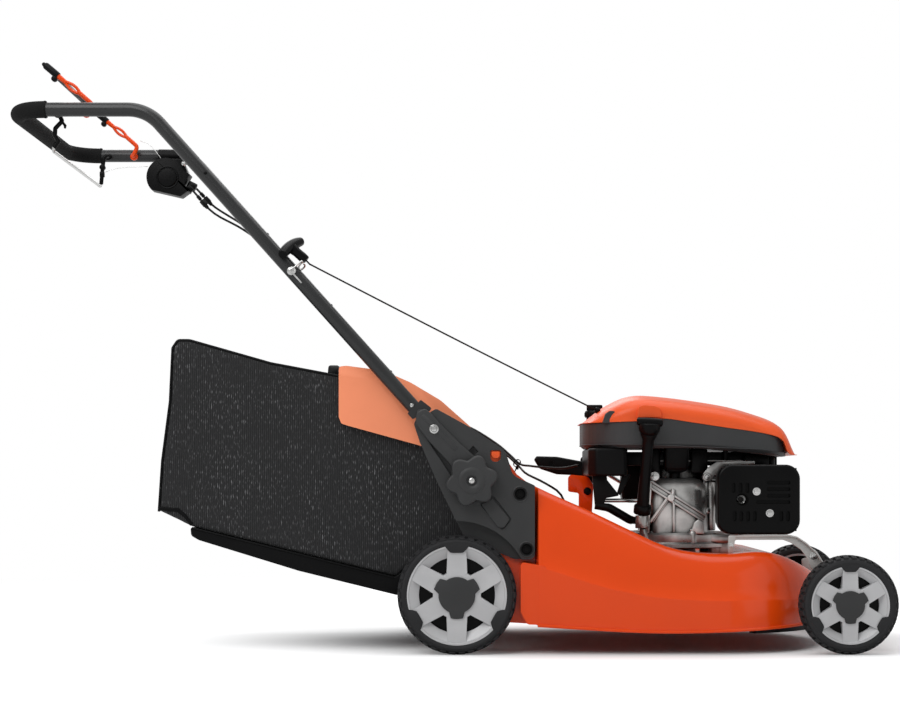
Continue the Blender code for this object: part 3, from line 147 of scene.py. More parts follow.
def surface(name, colour, roughness, metallic=0.0, coat=0.0, shine=0.5):
    """A new finish with its shader's plain values set; shine is its specular level."""
    made = bpy.data.materials.new(name)
    made.use_nodes = True
    shader = made.node_tree.nodes["Principled BSDF"]
    for title, value in (
        ("Base Color", (*colour, 1.0)), ("Roughness", roughness), ("Metallic", metallic), ("Coat Weight", coat),
        ("Coat Roughness", 0.08), ("Specular IOR Level", shine),
    ):
        shader.inputs[title].default_value = value
    made.diffuse_color = (*colour, 1.0)
    FINISHES[name] = made
    return made.node_tree, shader


def noise(tree, source, scale, detail, stretch=None, output="Fac"):
    """Noise on a piece's own coordinates, stretched along an axis where asked."""
    if stretch:
        source = add_node(tree, "Mapping", {"Scale": stretch, "Vector": source}, "Vector")
    return add_node(tree, "TexNoise", {"Scale": scale, "Detail": detail, "Vector": source}, output)


def ranged(tree, source, low, high, start=0.25, end=0.75):
    """Turn a texture's middle values into a range."""
    return add_node(
        tree, "MapRange", {"From Min": start, "From Max": end, "To Min": low, "To Max": high, "Value": source},
        "Result", interpolation_type="SMOOTHERSTEP",
    )


def toned(tree, shader, factor, colour, light, dark):
    """Drift the base colour between a darker and a lighter shade of itself."""
    darker, lighter = [(*[min(value * k, 1.0) for value in colour], 1.0) for k in (dark, light)]
    tone = add_node(tree, "Mix", {"A": darker, "B": lighter, "Factor": factor}, "Result", data_type="RGBA")
    tree.links.new(tone, shader.inputs["Base Color"])
    return tone


def paint_corner_shade(tree, shader, tone, reach):
    """Darken a tone in the corners between ribs and bosses: painted shade, found by ambient occlusion."""
    corners = add_node(tree, "AmbientOcclusion", {"Distance": reach}, "AO", samples=8)
    depth = ranged(tree, corners, 0.04, 1.0, 0.25, 0.85)
    shaded_tone = add_node(tree, "VectorMath", {0: tone, "Scale": depth}, "Vector", operation="SCALE")
    tree.links.new(shaded_tone, shader.inputs["Base Color"])


def bumped(tree, shader, height, strength, distance):
    """Raise the surface by a pattern, in its shading only."""
    bump = add_node(tree, "Bump", {"Strength": strength, "Distance": distance, "Height": height}, "Normal")
    tree.links.new(bump, shader.inputs["Normal"])


def grained(name, colour, roughness, metallic=0.0, coat=0.0, grain=1400.0, depth=0.1, drift=9.0, light=1.12,
            dark=0.92, scuff=0.06, stretch=None, shine=0.5, corner_shade_reach=None):
    """A finish with fine grain, slow changes of tone and uneven gloss."""
    tree, shader = surface(name, colour, roughness, metallic, coat, shine)
    place = add_node(tree, "TexCoord", {}, "Object")
    slow = noise(tree, place, drift, 4.0, stretch)
    tone = toned(tree, shader, ranged(tree, slow, 0.0, 1.0), colour, light, dark)
    # Painted shade: where asked, the tone is darkened in the corners that ambient occlusion finds.
    if corner_shade_reach:
        paint_corner_shade(tree, shader, tone, corner_shade_reach)
    gloss = ranged(tree, slow, max(roughness - scuff, 0.02), min(roughness + scuff, 1.0))
    tree.links.new(gloss, shader.inputs["Roughness"])
    bumped(tree, shader, noise(tree, place, grain, 2.0, stretch), depth, 0.0004)


def woven(name, colour, pitch=0.0042):
    """Bag cloth: fine upright ribs with light flecks, laid on the cloth's own UV map in metres."""
    tree, shader = surface(name, colour, 0.85, shine=0.2)
    shader.inputs["Sheen Weight"].default_value = 0.12
    shader.inputs["Sheen Roughness"].default_value = 0.5
    place = add_node(tree, "UVMap", {}, "UV", uv_map="cloth")
    warp = noise(tree, place, 22.0, 2.0, (1.0, 0.35, 1.0), "Color")
    shift = add_node(
        tree, "VectorMath", {0: warp, 1: (0.006, 0.0, 0.0), 2: place}, "Vector", operation="MULTIPLY_ADD",
    )
    ribs = add_node(
        tree, "TexWave", {"Scale": 0.314 / (pitch * 0.85), "Vector": shift}, "Fac", wave_type="BANDS",
        bands_direction="X",
    )
    weft = add_node(tree, "TexWave", {"Scale": 0.314 / (pitch * 0.55), "Vector": shift}, "Fac", bands_direction="Y")
    bumped(tree, shader, maths(tree, "MULTIPLY_ADD", weft, 0.35, ribs), 0.7, 0.0008)
    sparse = ranged(tree, noise(tree, place, 460.0, 1.0, (1.0, 0.24, 1.0)), 0.0, 1.0, 0.5, 0.8)
    worn = ranged(tree, noise(tree, place, 11.0, 2.0), 0.25, 1.0, 0.3, 0.7)
    lit = maths(tree, "MULTIPLY", maths(tree, "MULTIPLY", sparse, worn), ribs)
    striped = maths(tree, "MULTIPLY_ADD", ribs, 0.075, lit, use_clamp=True)
    toned(tree, shader, striped, colour, 11.0, 0.7)


def make_finishes(colours):
    """Every finish on the mower."""
    orange, dark, black = tuple(colours.orange), tuple(colours.dark), tuple(colours.black)
    grained("orange_enamel", orange, 0.2, coat=0.14, grain=220.0, depth=0.02, drift=5.0, light=1.03, dark=0.97,
            scuff=0.03, shine=0.22)
    grained(
        "orange_plastic", tuple(colours.plastic), 0.36, grain=1500.0, depth=0.05, drift=6.0, light=1.05, dark=0.96,
        shine=0.26,
    )
    # Flap: the orange plastic painted lighter, a painted highlight.
    grained("flap_plastic_painted_light", tuple(colours.flap), 0.42, grain=1500.0, depth=0.06, drift=6.0, light=1.05, dark=0.96,
            shine=0.26)
    grained("dark_plastic", dark, 0.48, grain=1700.0, depth=0.2, drift=14.0, shine=0.34)
    grained("housing_plastic", (0.034, 0.035, 0.036), 0.44, grain=1500.0, depth=0.12, drift=10.0, shine=0.32)
    grained("black_plastic", black, 0.38, grain=1500.0, depth=0.12, drift=12.0, light=1.3, shine=0.1)
    grained("black_enamel", (0.0022, 0.0022, 0.0023), 0.34, grain=900.0, depth=0.08, drift=12.0, light=1.3, shine=0.1)
    grained("tube_enamel", (0.017, 0.0175, 0.018), 0.34, coat=0.1, grain=1200.0, depth=0.08, drift=8.0, shine=0.34)
    grained("foam", (0.007, 0.007, 0.007), 0.92, grain=620.0, depth=0.75, drift=40.0, light=1.5, shine=0.15)
    grained("tyre_rubber", (0.016, 0.016, 0.017), 0.66, grain=800.0, depth=0.3, drift=25.0, light=1.25, shine=0.26)
    grained("rim_silver", tuple(colours.silver), 0.44, metallic=0.12, grain=1600.0, depth=0.1, drift=16.0, light=1.05,
            shine=0.4)
    # Cast aluminium: its deep, slow swings of tone are painted reflection of dark surroundings in the metal, and its
    # corner darkening is painted shade.
    grained("cast_aluminium", (0.6, 0.595, 0.58), 0.36, metallic=0.8, grain=420.0, depth=0.3, drift=13.0,
            light=1.35, dark=0.34, scuff=0.12, corner_shade_reach=0.016)
    grained("burnt_steel", (0.028, 0.026, 0.024), 0.6, metallic=0.5, grain=300.0, depth=0.25, drift=30.0, light=1.6,
            dark=0.6, scuff=0.12)
    grained("bright_steel", (0.62, 0.62, 0.61), 0.26, metallic=1.0, grain=900.0, depth=0.08, drift=30.0, light=1.05,
            dark=0.8, scuff=0.08, stretch=(1.0, 1.0, 6.0))
    grained("plated_stay", (0.5, 0.49, 0.47), 0.42, metallic=0.45, grain=600.0, depth=0.1, drift=18.0, dark=0.85)
    grained("belt_rubber", (0.01, 0.01, 0.01), 0.8, grain=900.0, depth=0.3, drift=20.0, shine=0.2)
    grained("cable_sheath", (0.006, 0.006, 0.006), 0.38, grain=900.0, depth=0.06, drift=20.0, light=1.3, shine=0.2)
    grained("rope_fibre", (0.008, 0.008, 0.008), 0.75, grain=1400.0, depth=0.6, drift=60.0, light=1.6, shine=0.15)
    woven("bag_cloth", tuple(colours.cloth))


# ---------------------------------------------------------------- making pieces

def new_object(name, bm):
    """Make a bmesh, measured from the ground under the rear axle, an object in the scene, and free it."""
    bmesh.ops.translate(bm, verts=bm.verts, vec=(REAR_AXLE_X, 0.0, 0.0))
    mesh = bpy.data.meshes.new(name)
    bm.to_mesh(mesh)
    bm.free()
    made = bpy.data.objects.new(name, mesh)
    bpy.context.scene.collection.objects.link(made)
    return made


def closed_up(bm):
    """Merge a bmesh's doubles and turn its faces outwards."""
    bmesh.ops.remove_doubles(bm, verts=bm.verts, dist=0.000002)
    bmesh.ops.recalc_face_normals(bm, faces=bm.faces)
    return bm


def smoothed(made):
    """Shade a piece smooth between its sharper edges."""
    made.data.shade_smooth()
    made.data.set_sharp_from_angle(angle=SHARP_ANGLE)


def keep(name, bm, finish, body, *nodes, slot=None):
    """Turn a bmesh into a piece that rides on its body and replaces the nodes, if any are named."""
    made = new_object(name, closed_up(bm))
    smoothed(made)
    made.data.materials.append(FINISHES[finish])
    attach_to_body(made, body)
    if nodes:
        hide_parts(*nodes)
    return made


def soften(made, width=0.0008, segments=2, angle=32.0):
    """Round a finished piece's sharp edges with a live Bevel."""
    bevel = made.modifiers.new("soft_edges", "BEVEL")
    bevel.width = width
    bevel.segments = segments
    bevel.limit_method = "ANGLE"
    bevel.angle_limit = radians(angle)
    bevel.harden_normals = False
    bevel.use_clamp_overlap = True


def carve(made, *cutters, operation="DIFFERENCE"):
    """Cut bmeshes away from a piece, or join them, and keep the result as its mesh."""
    for bm in cutters:
        cutter = new_object("cutter", closed_up(bm))
        step = made.modifiers.new("carve", "BOOLEAN")
        step.operation = operation
        step.solver = "EXACT"
        step.object = cutter
        bpy.context.view_layer.update()
        result = bpy.data.meshes.new_from_object(made.evaluated_get(bpy.context.evaluated_depsgraph_get()))
        made.modifiers.remove(step)
        old = made.data
        made.data = result
        spent = cutter.data
        bpy.data.objects.remove(cutter)
        for mesh in (old, spent):
            bpy.data.meshes.remove(mesh)
    smoothed(made)


def flat_face(bm, outline, level, axis="Y"):
    """One face from an outline: (x, z) across Y, (x, y) across Z, or (y, z) across X."""
    spots = []
    for a, b in outline:
        spots.append({"X": (level, a, b), "Y": (a, level, b), "Z": (a, b, level)}[axis])
    return bm.faces.new([bm.verts.new(spot) for spot in spots])


def plate(outline, low, high, bevel=0.0, segments=2, axis="Y"):
    """A flat plate cut to an outline, with rounded edges where asked."""
    bm = bmesh.new()
    base = flat_face(bm, outline, low, axis)
    grown = bmesh.ops.extrude_face_region(bm, geom=[base])
    moved = [item for item in grown["geom"] if isinstance(item, bmesh.types.BMVert)]
    along = {"X": Vector((1, 0, 0)), "Y": Vector((0, 1, 0)), "Z": Vector((0, 0, 1))}[axis]
    bmesh.ops.translate(bm, verts=moved, vec=along * (high - low))
    bmesh.ops.recalc_face_normals(bm, faces=bm.faces)
    if bevel:
        index = {"X": 0, "Y": 1, "Z": 2}[axis]
        rims = [e for e in bm.edges if abs(e.verts[0].co[index] - e.verts[1].co[index]) < 0.00001]
        round_edges(bm, rims, bevel, segments)
    return bm


def round_edges(bm, edges, width, segments=2):
    """Bevel the edges."""
    bmesh.ops.bevel(
        bm, geom=edges, offset=width, offset_type="OFFSET", segments=segments, profile=0.5, affect="EDGES",
        material=-1, clamp_overlap=True,
    )


def block(x0, x1, y0, y1, z0, z1, bevel=0.0, segments=2):
    """A block between two corners, with rounded edges where asked."""
    bm = bmesh.new()
    bmesh.ops.create_cube(bm, size=1.0)
    bmesh.ops.scale(bm, vec=(x1 - x0, y1 - y0, z1 - z0), verts=bm.verts)
    bmesh.ops.translate(bm, verts=bm.verts, vec=((x0 + x1) / 2, (y0 + y1) / 2, (z0 + z1) / 2))
    if bevel:
        round_edges(bm, bm.edges[:], bevel, segments)
    return bm


def turn_to(axis):
    """The turn that takes +Z to an axis."""
    return Vector(axis).to_track_quat("Z", "Y").to_matrix().to_4x4()


def rod(start, end, radius, sides=24, bevel=0.0, end_radius=None):
    """A round rod or cone between two points, with rounded rims where asked."""
    start, end = Vector(start), Vector(end)
    bm = bmesh.new()
    place = Matrix.Translation((start + end) / 2) @ turn_to(end - start)
    other = radius if end_radius is None else end_radius
    bmesh.ops.create_cone(
        bm, cap_ends=True, segments=sides, radius1=radius, radius2=other, depth=(end - start).length, matrix=place
    )
    if bevel:
        rims = [e for e in bm.edges if any(len(f.verts) > 4 for f in e.link_faces)]
        round_edges(bm, rims, bevel)
    return bm


def cross_rod(x, z, start, end, radius, sides=24, bevel=0.0):
    """A rod across the mower, from one y to another."""
    return rod((x, start, z), (x, end, z), radius, sides, bevel)


def post(x, y, low, high, radius, sides=24, bevel=0.0):
    """An upright rod."""
    return rod((x, y, low), (x, y, high), radius, sides, bevel)


def turned(profile, centre, axis, steps=48):
    """Spin a profile of (radius, height) points about an axis; off the axis it closes on itself."""
    bm = bmesh.new()
    verts = [bm.verts.new((radius, 0, height)) for radius, height in profile]
    edges = [bm.edges.new(pair) for pair in zip(verts, verts[1:])]
    if profile[0][0] > 0 and profile[-1][0] > 0:
        edges.append(bm.edges.new((verts[-1], verts[0])))
    bmesh.ops.spin(bm, geom=verts + edges, cent=(0, 0, 0), axis=(0, 0, 1), angle=2 * pi, steps=steps, use_merge=True)
    bmesh.ops.remove_doubles(bm, verts=bm.verts, dist=0.000001)
    bmesh.ops.transform(bm, matrix=Matrix.Translation(centre) @ turn_to(axis), verts=bm.verts)
    bmesh.ops.recalc_face_normals(bm, faces=bm.faces)
    return bm


def skin(sections):
    """Draw a first section, then extrude its edges through the others, which have the same number of points."""
    bm = bmesh.new()
    ring = [bm.verts.new(spot) for spot in sections[0]]
    edges = [bm.edges.new(pair) for pair in zip(ring, ring[1:] + ring[:1])]
    bm.faces.new(ring)
    for section in sections[1:]:
        grown = bmesh.ops.extrude_edge_only(bm, edges=edges)["geom"]
        edges = [item for item in grown if isinstance(item, bmesh.types.BMEdge)]
        follow = {vert for edge in edges for vert in edge.verts}
        fresh = []
        for old in ring:
            match = [e.other_vert(old) for e in old.link_edges if e.other_vert(old) in follow]
            fresh.append(match[0])
        for vert, spot in zip(fresh, section):
            vert.co = Vector(spot)
        ring = fresh
    bm.faces.new(ring)
    return bm


def fillet(points, radius, steps=6, closed=True):
    """Round the corners of a line; radius is one value or one for each point."""
    spots = [Vector(p).to_3d() for p in points]
    radii = radius if isinstance(radius, (list, tuple)) else [radius] * len(spots)
    out = []
    for i, spot in enumerate(spots):
        if radii[i] == 0 or (not closed and i in (0, len(spots) - 1)):
            out.append(spot)
            continue
        back = (spots[i - 1] - spot).normalized()
        ahead = (spots[(i + 1) % len(spots)] - spot).normalized()
        half = back.angle(ahead) / 2
        if half > radians(89):
            out.append(spot)
            continue
        middle = spot + (back + ahead).normalized() * (radii[i] / sin(half))
        start = spot + back * (radii[i] / tan(half)) - middle
        finish = spot + ahead * (radii[i] / tan(half)) - middle
        turn = start.angle(finish)
        for k in range(steps + 1):
            share = k / steps
            arm = (start * sin((1 - share) * turn) + finish * sin(share * turn)) / sin(turn)
            out.append(middle + arm)
    return out


def rounded(points, radius, steps=6):
    """A closed flat outline with rounded corners."""
    return [(p.x, p.y) for p in fillet(points, radius, steps)]


def rectangle(x0, x1, y0, y1):
    """The four corners of a flat rectangle, in the order that its corner radii follow."""
    return [(x0, y0), (x1, y0), (x1, y1), (x0, y1)]


def flank(side, inner, outer):
    """Two distances from the middle plane as low and high y on one side of the mower."""
    return sorted((side * inner, side * outer))


def at(spot, y):
    """A place in the side view, given as (x, z), set at its y."""
    return spot[0], y, spot[1]


def arc(centre, radius, start, end, steps):
    """Points on an arc, angles in degrees."""
    spots = []
    for k in range(steps + 1):
        angle = radians(start + (end - start) * k / steps)
        spots.append((centre[0] + radius * cos(angle), centre[1] + radius * sin(angle)))
    return spots


def pipe(points, radius, sides=16):
    """A round bar along a path: a circle whose rim is extruded from point to point."""
    path = [Vector(p).to_3d() for p in points]
    radii = radius if isinstance(radius, (list, tuple)) else [radius] * len(path)
    sections = []
    normal = None
    for i, spot in enumerate(path):
        before = (spot - path[i - 1]).normalized() if i else (path[1] - spot).normalized()
        after = (path[i + 1] - spot).normalized() if i < len(path) - 1 else before
        along = (before + after).normalized()
        if normal is None:
            normal = along.cross(Vector((0, 0, 1))) if abs(along.z) < 0.95 else along.orthogonal()
        normal = (normal - along * normal.dot(along)).normalized()
        side = along.cross(normal)
        stretch = 1 / max(along.dot(after), 0.6)
        bend = after - before
        ring = []
        for k in range(sides):
            angle = 2 * pi * k / sides
            arm = (normal * cos(angle) + side * sin(angle)) * radii[i]
            if bend.length > 0.001:
                across = bend.normalized()
                arm += across * arm.dot(across) * (stretch - 1)
            ring.append(spot + arm)
        sections.append(ring)
    return skin(sections)


def fuse(first, *others):
    """Put several shells in one bmesh."""
    for other in others:
        mesh = bpy.data.meshes.new("shell")
        other.to_mesh(mesh)
        other.free()
        first.from_mesh(mesh)
        bpy.data.meshes.remove(mesh)
    return first


def attach(made, *shells):
    """Add shells to a piece that has been cut: a cut through overlapping shells can lose one of them."""
    whole = bmesh.new()
    whole.from_mesh(made.data)
    for shell in shells:
        bmesh.ops.translate(closed_up(shell), verts=shell.verts, vec=(REAR_AXLE_X, 0.0, 0.0))
    fuse(whole, *shells).to_mesh(made.data)
    whole.free()
    smoothed(made)


def screw(place, axis, radius, height):
    """A domed screw head with a socket, standing on a place."""
    head = [
        (0.0, height * 0.45), (radius * 0.42, height * 0.45), (radius * 0.48, height), (radius * 0.8, height * 0.9),
        (radius * 0.98, height * 0.4), (radius, 0.0), (0.0, 0.0),
    ]
    return turned(head, place, axis, 24)


def smooth_line(spots, spacing):
    """A smooth curve through a line's points, cut into even steps."""
    points = [Vector(s) for s in spots]
    padded = [points[0] * 2 - points[1], *points, points[-1] * 2 - points[-2]]
    fine = []
    for i in range(1, len(padded) - 2):
        a, b, c, d = padded[i - 1: i + 3]
        for k in range(24):
            t = k / 24
            fine.append(
                0.5 * ((2 * b) + (c - a) * t + (2 * a - 5 * b + 4 * c - d) * t * t + (3 * b - a - 3 * c + d) * t ** 3)
            )
    fine.append(points[-1])
    out = [fine[0]]
    for spot in fine[1:-1]:
        if (spot - out[-1]).length >= spacing:
            out.append(spot)
    out.append(fine[-1])
    return out


def between(table, x):
    """Read a value off a line of (x, value) points."""
    for (x0, h0), (x1, h1) in zip(table, table[1:]):
        if x <= x1:
            return h0 + (h1 - h0) * (x - x0) / (x1 - x0)
    return table[-1][1]


def curved(table, x):
    """Read a value off a smooth curve through a line of (x, value) points."""
    if x <= table[0][0]:
        return table[0][1]
    for i in range(len(table) - 1):
        x0, h0 = table[i]
        x1, h1 = table[i + 1]
        if x <= x1:
            before = table[i - 1] if i else (2 * x0 - x1, 2 * h0 - h1)
            after = table[i + 2] if i + 2 < len(table) else (2 * x1 - x0, 2 * h1 - h0)
            slope0 = (h1 - before[1]) / (x1 - before[0]) * (x1 - x0)
            slope1 = (after[1] - h0) / (after[0] - x0) * (x1 - x0)
            t = (x - x0) / (x1 - x0)
            return (
                (2 * t ** 3 - 3 * t ** 2 + 1) * h0 + (t ** 3 - 2 * t ** 2 + t) * slope0
                + (-2 * t ** 3 + 3 * t ** 2) * h1 + (t ** 3 - t ** 2) * slope1
            )
    return table[-1][1]


# ---------------------------------------------------------------- deck

SHOULDER = [
    (0.043, 0.383), (0.075, 0.362), (0.106, 0.318), (0.141, 0.295), (0.234, 0.253), (0.322, 0.211), (0.374, 0.188),
    (0.427, 0.177), (0.489, 0.175), (0.53, 0.178), (0.565, 0.176), (0.6, 0.165), (0.632, 0.15), (0.66, 0.135),
    (0.684, 0.115),
]
CREASE = [(0.043, 0.17), (0.141, 0.158), (0.265, 0.121), (0.376, 0.102), (0.594, 0.096), (0.684, 0.09)]
EDGE = [(0.043, 0.056), (0.127, 0.051), (0.36, 0.039), (0.576, 0.045), (0.684, 0.05)]
STEP_X = 0.138
NOSE_START = 0.47
NOSE_X = 0.684
HALF_WIDTH = 0.275
NECK_HALF_WIDTH = 0.228
WELL = (0.28, 0.528, 0.165, 0.168)


def deck_half(x):
    """Half the deck's width at a place along it."""
    if x <= STEP_X:
        return NECK_HALF_WIDTH
    if x <= NOSE_START:
        return HALF_WIDTH
    share = (x - NOSE_START) / (NOSE_X - NOSE_START)
    return max(HALF_WIDTH * sqrt(max(1 - share * share, 0)), 0.075)


def deck_ring(x, wall, floor=None):
    """A section across the deck with its flange, crease, round shoulder and the engine's well."""
    half = deck_half(x) - wall
    top = curved(SHOULDER, x) - wall
    crease = curved(CREASE, x)
    low = curved(EDGE, x) if floor is None else floor
    lean = min(0.04, half * 0.5) if x > STEP_X else 0.01
    step = 0.0085 if x > STEP_X else 0.0
    rise = top - crease
    slope = min(0.01, rise * 0.2)
    inside = WELL[0] <= x <= WELL[1]
    well = min(WELL[3] - wall, top) if inside else top
    foot = min(WELL[2], half - lean - 0.03)
    lip = min(foot + 0.012, half - lean - 0.016)
    side = [
        (half, low), (half, crease - 0.004), (half - step * 0.25, crease - 0.001), (half - step, crease + slope),
        (half - step - lean * 0.1, crease + rise * 0.25), (half - step - lean * 0.24, crease + rise * 0.5),
        (half - step - lean * 0.46, crease + rise * 0.74), (half - step - lean * 0.68, crease + rise * 0.89),
        (half - step - lean * 0.86, crease + rise * 0.965), (half - step - lean, top - rise * 0.004),
        (half - lean - 0.012, top), (lip, top), (lip - 0.003, (top + well) / 2), (foot, well),
    ]
    return [Vector((x, y, z)) for y, z in side] + [Vector((x, -y, z)) for y, z in reversed(side)]


def deck_places(start, end):
    """Where the deck's sections stand."""
    marks = [0.043, 0.055, 0.075, 0.09, 0.106, 0.122, STEP_X, STEP_X + 0.006, 0.165, 0.19, 0.215, 0.24, 0.262]
    marks += [WELL[0] - 0.004, WELL[0], 0.3, 0.322, 0.348, 0.374, 0.4, 0.427, 0.458, 0.48, 0.5, 0.515]
    marks += [WELL[1], WELL[1] + 0.006, 0.55, 0.566, 0.582, 0.598, 0.612, 0.626, 0.638, 0.649, 0.658, 0.666, 0.673]
    marks += [0.678, 0.6815, NOSE_X]
    return [start] + [x for x in marks if start + 0.0015 < x < end - 0.0015] + [end]


class MOWER_OT_deck(bpy.types.Operator):
    """Build the pressed deck: outer skin, blade chamber, discharge tunnel and belt bay"""

    bl_idname = "mower.deck"
    bl_label = "Deck"

    def execute(self, context):
        """Skin the sections, add the rear ears, then open the hollows."""
        wall = context.scene.mower_sizes.deck_wall
        deck = keep(
            "deck_shell", skin([deck_ring(x, 0) for x in deck_places(0.043, NOSE_X)]), "orange_enamel", "chassis",
            "deck",
        )
        for side in (-1, 1):
            ear = rounded([(0.112, 0.075), (0.124, 0.053), (0.158, 0.052), (0.158, 0.155), (0.112, 0.163)], 0.006, 3)
            low, high = flank(side, NECK_HALF_WIDTH - 0.008, HALF_WIDTH - 0.0004)
            carve(deck, plate(ear, low, high), operation="UNION")
        start = STEP_X + 0.008 + wall
        chamber = []
        for x in deck_places(start, NOSE_X - wall):
            ring = deck_ring(x, wall, -0.02)
            chamber.append([Vector((p.x, p.y, min(p.z, WELL[3] - wall))) for p in ring])
        carve(deck, skin(chamber))
        carve(deck, block(0.13, start + 0.01, -0.222, 0.222, -0.03, WELL[3] - 0.004))
        tunnel = [
            (0.165, 0.15), (0.128, 0.172), (0.02, 0.178), (0.02, 0.366), (0.043, 0.366), (0.075, 0.345),
            (0.104, 0.306), (0.14, 0.284), (0.232, 0.243), (0.272, 0.15),
        ]
        carve(deck, plate(tunnel, -0.18, 0.18))
        carve(deck, block(0.02, 0.127, -0.225, 0.225, -0.02, 0.16))
        carve(deck, block(0.1, 0.16, -0.055, 0.055, 0.125, 0.146))
        carve(deck, post(CRANK_X, 0, 0.12, 0.2, 0.046, 48))
        self.trim()
        return {"FINISHED"}

    def trim(self):
        """The rolled lower edges and the black front skirt."""
        for side, hand in SIDES:
            route = []
            for x in deck_places(STEP_X + 0.004, 0.64):
                route.append((x, side * (deck_half(x) + 0.0005), curved(EDGE, x) + 0.001))
            keep("deck_edge_" + hand, pipe(route, 0.003, 10), "orange_enamel", "chassis")
        nose = []
        for k in range(25):
            angle = radians(-74 + 148 * k / 24)
            x = NOSE_START + (NOSE_X - NOSE_START) * cos(angle) - 0.001
            nose.append((x, HALF_WIDTH * sin(angle) * 0.985))
        inner = [(x - 0.01, y * 0.95) for x, y in nose]
        skirt = plate(nose + inner[::-1], 0.036, 0.056, 0.001, axis="Z")
        keep("front_skirt", skirt, "black_plastic", "chassis")


# ---------------------------------------------------------------- wheels

def wheel_place(end):
    """A wheel's middle, tyre radius, width and rim radius."""
    if end == "rear":
        return (0.0, REAR_AXLE_Z), (TYRE_HIGH.z - TYRE_LOW.z) / 2, TYRE_HIGH.y - TYRE_LOW.y, 0.088
    x = (FRONT_LOW.x + FRONT_HIGH.x) / 2 - REAR_AXLE_X
    return (x, (FRONT_LOW.z + FRONT_HIGH.z) / 2), (FRONT_HIGH.z - FRONT_LOW.z) / 2, FRONT_HIGH.y - FRONT_LOW.y, 0.069


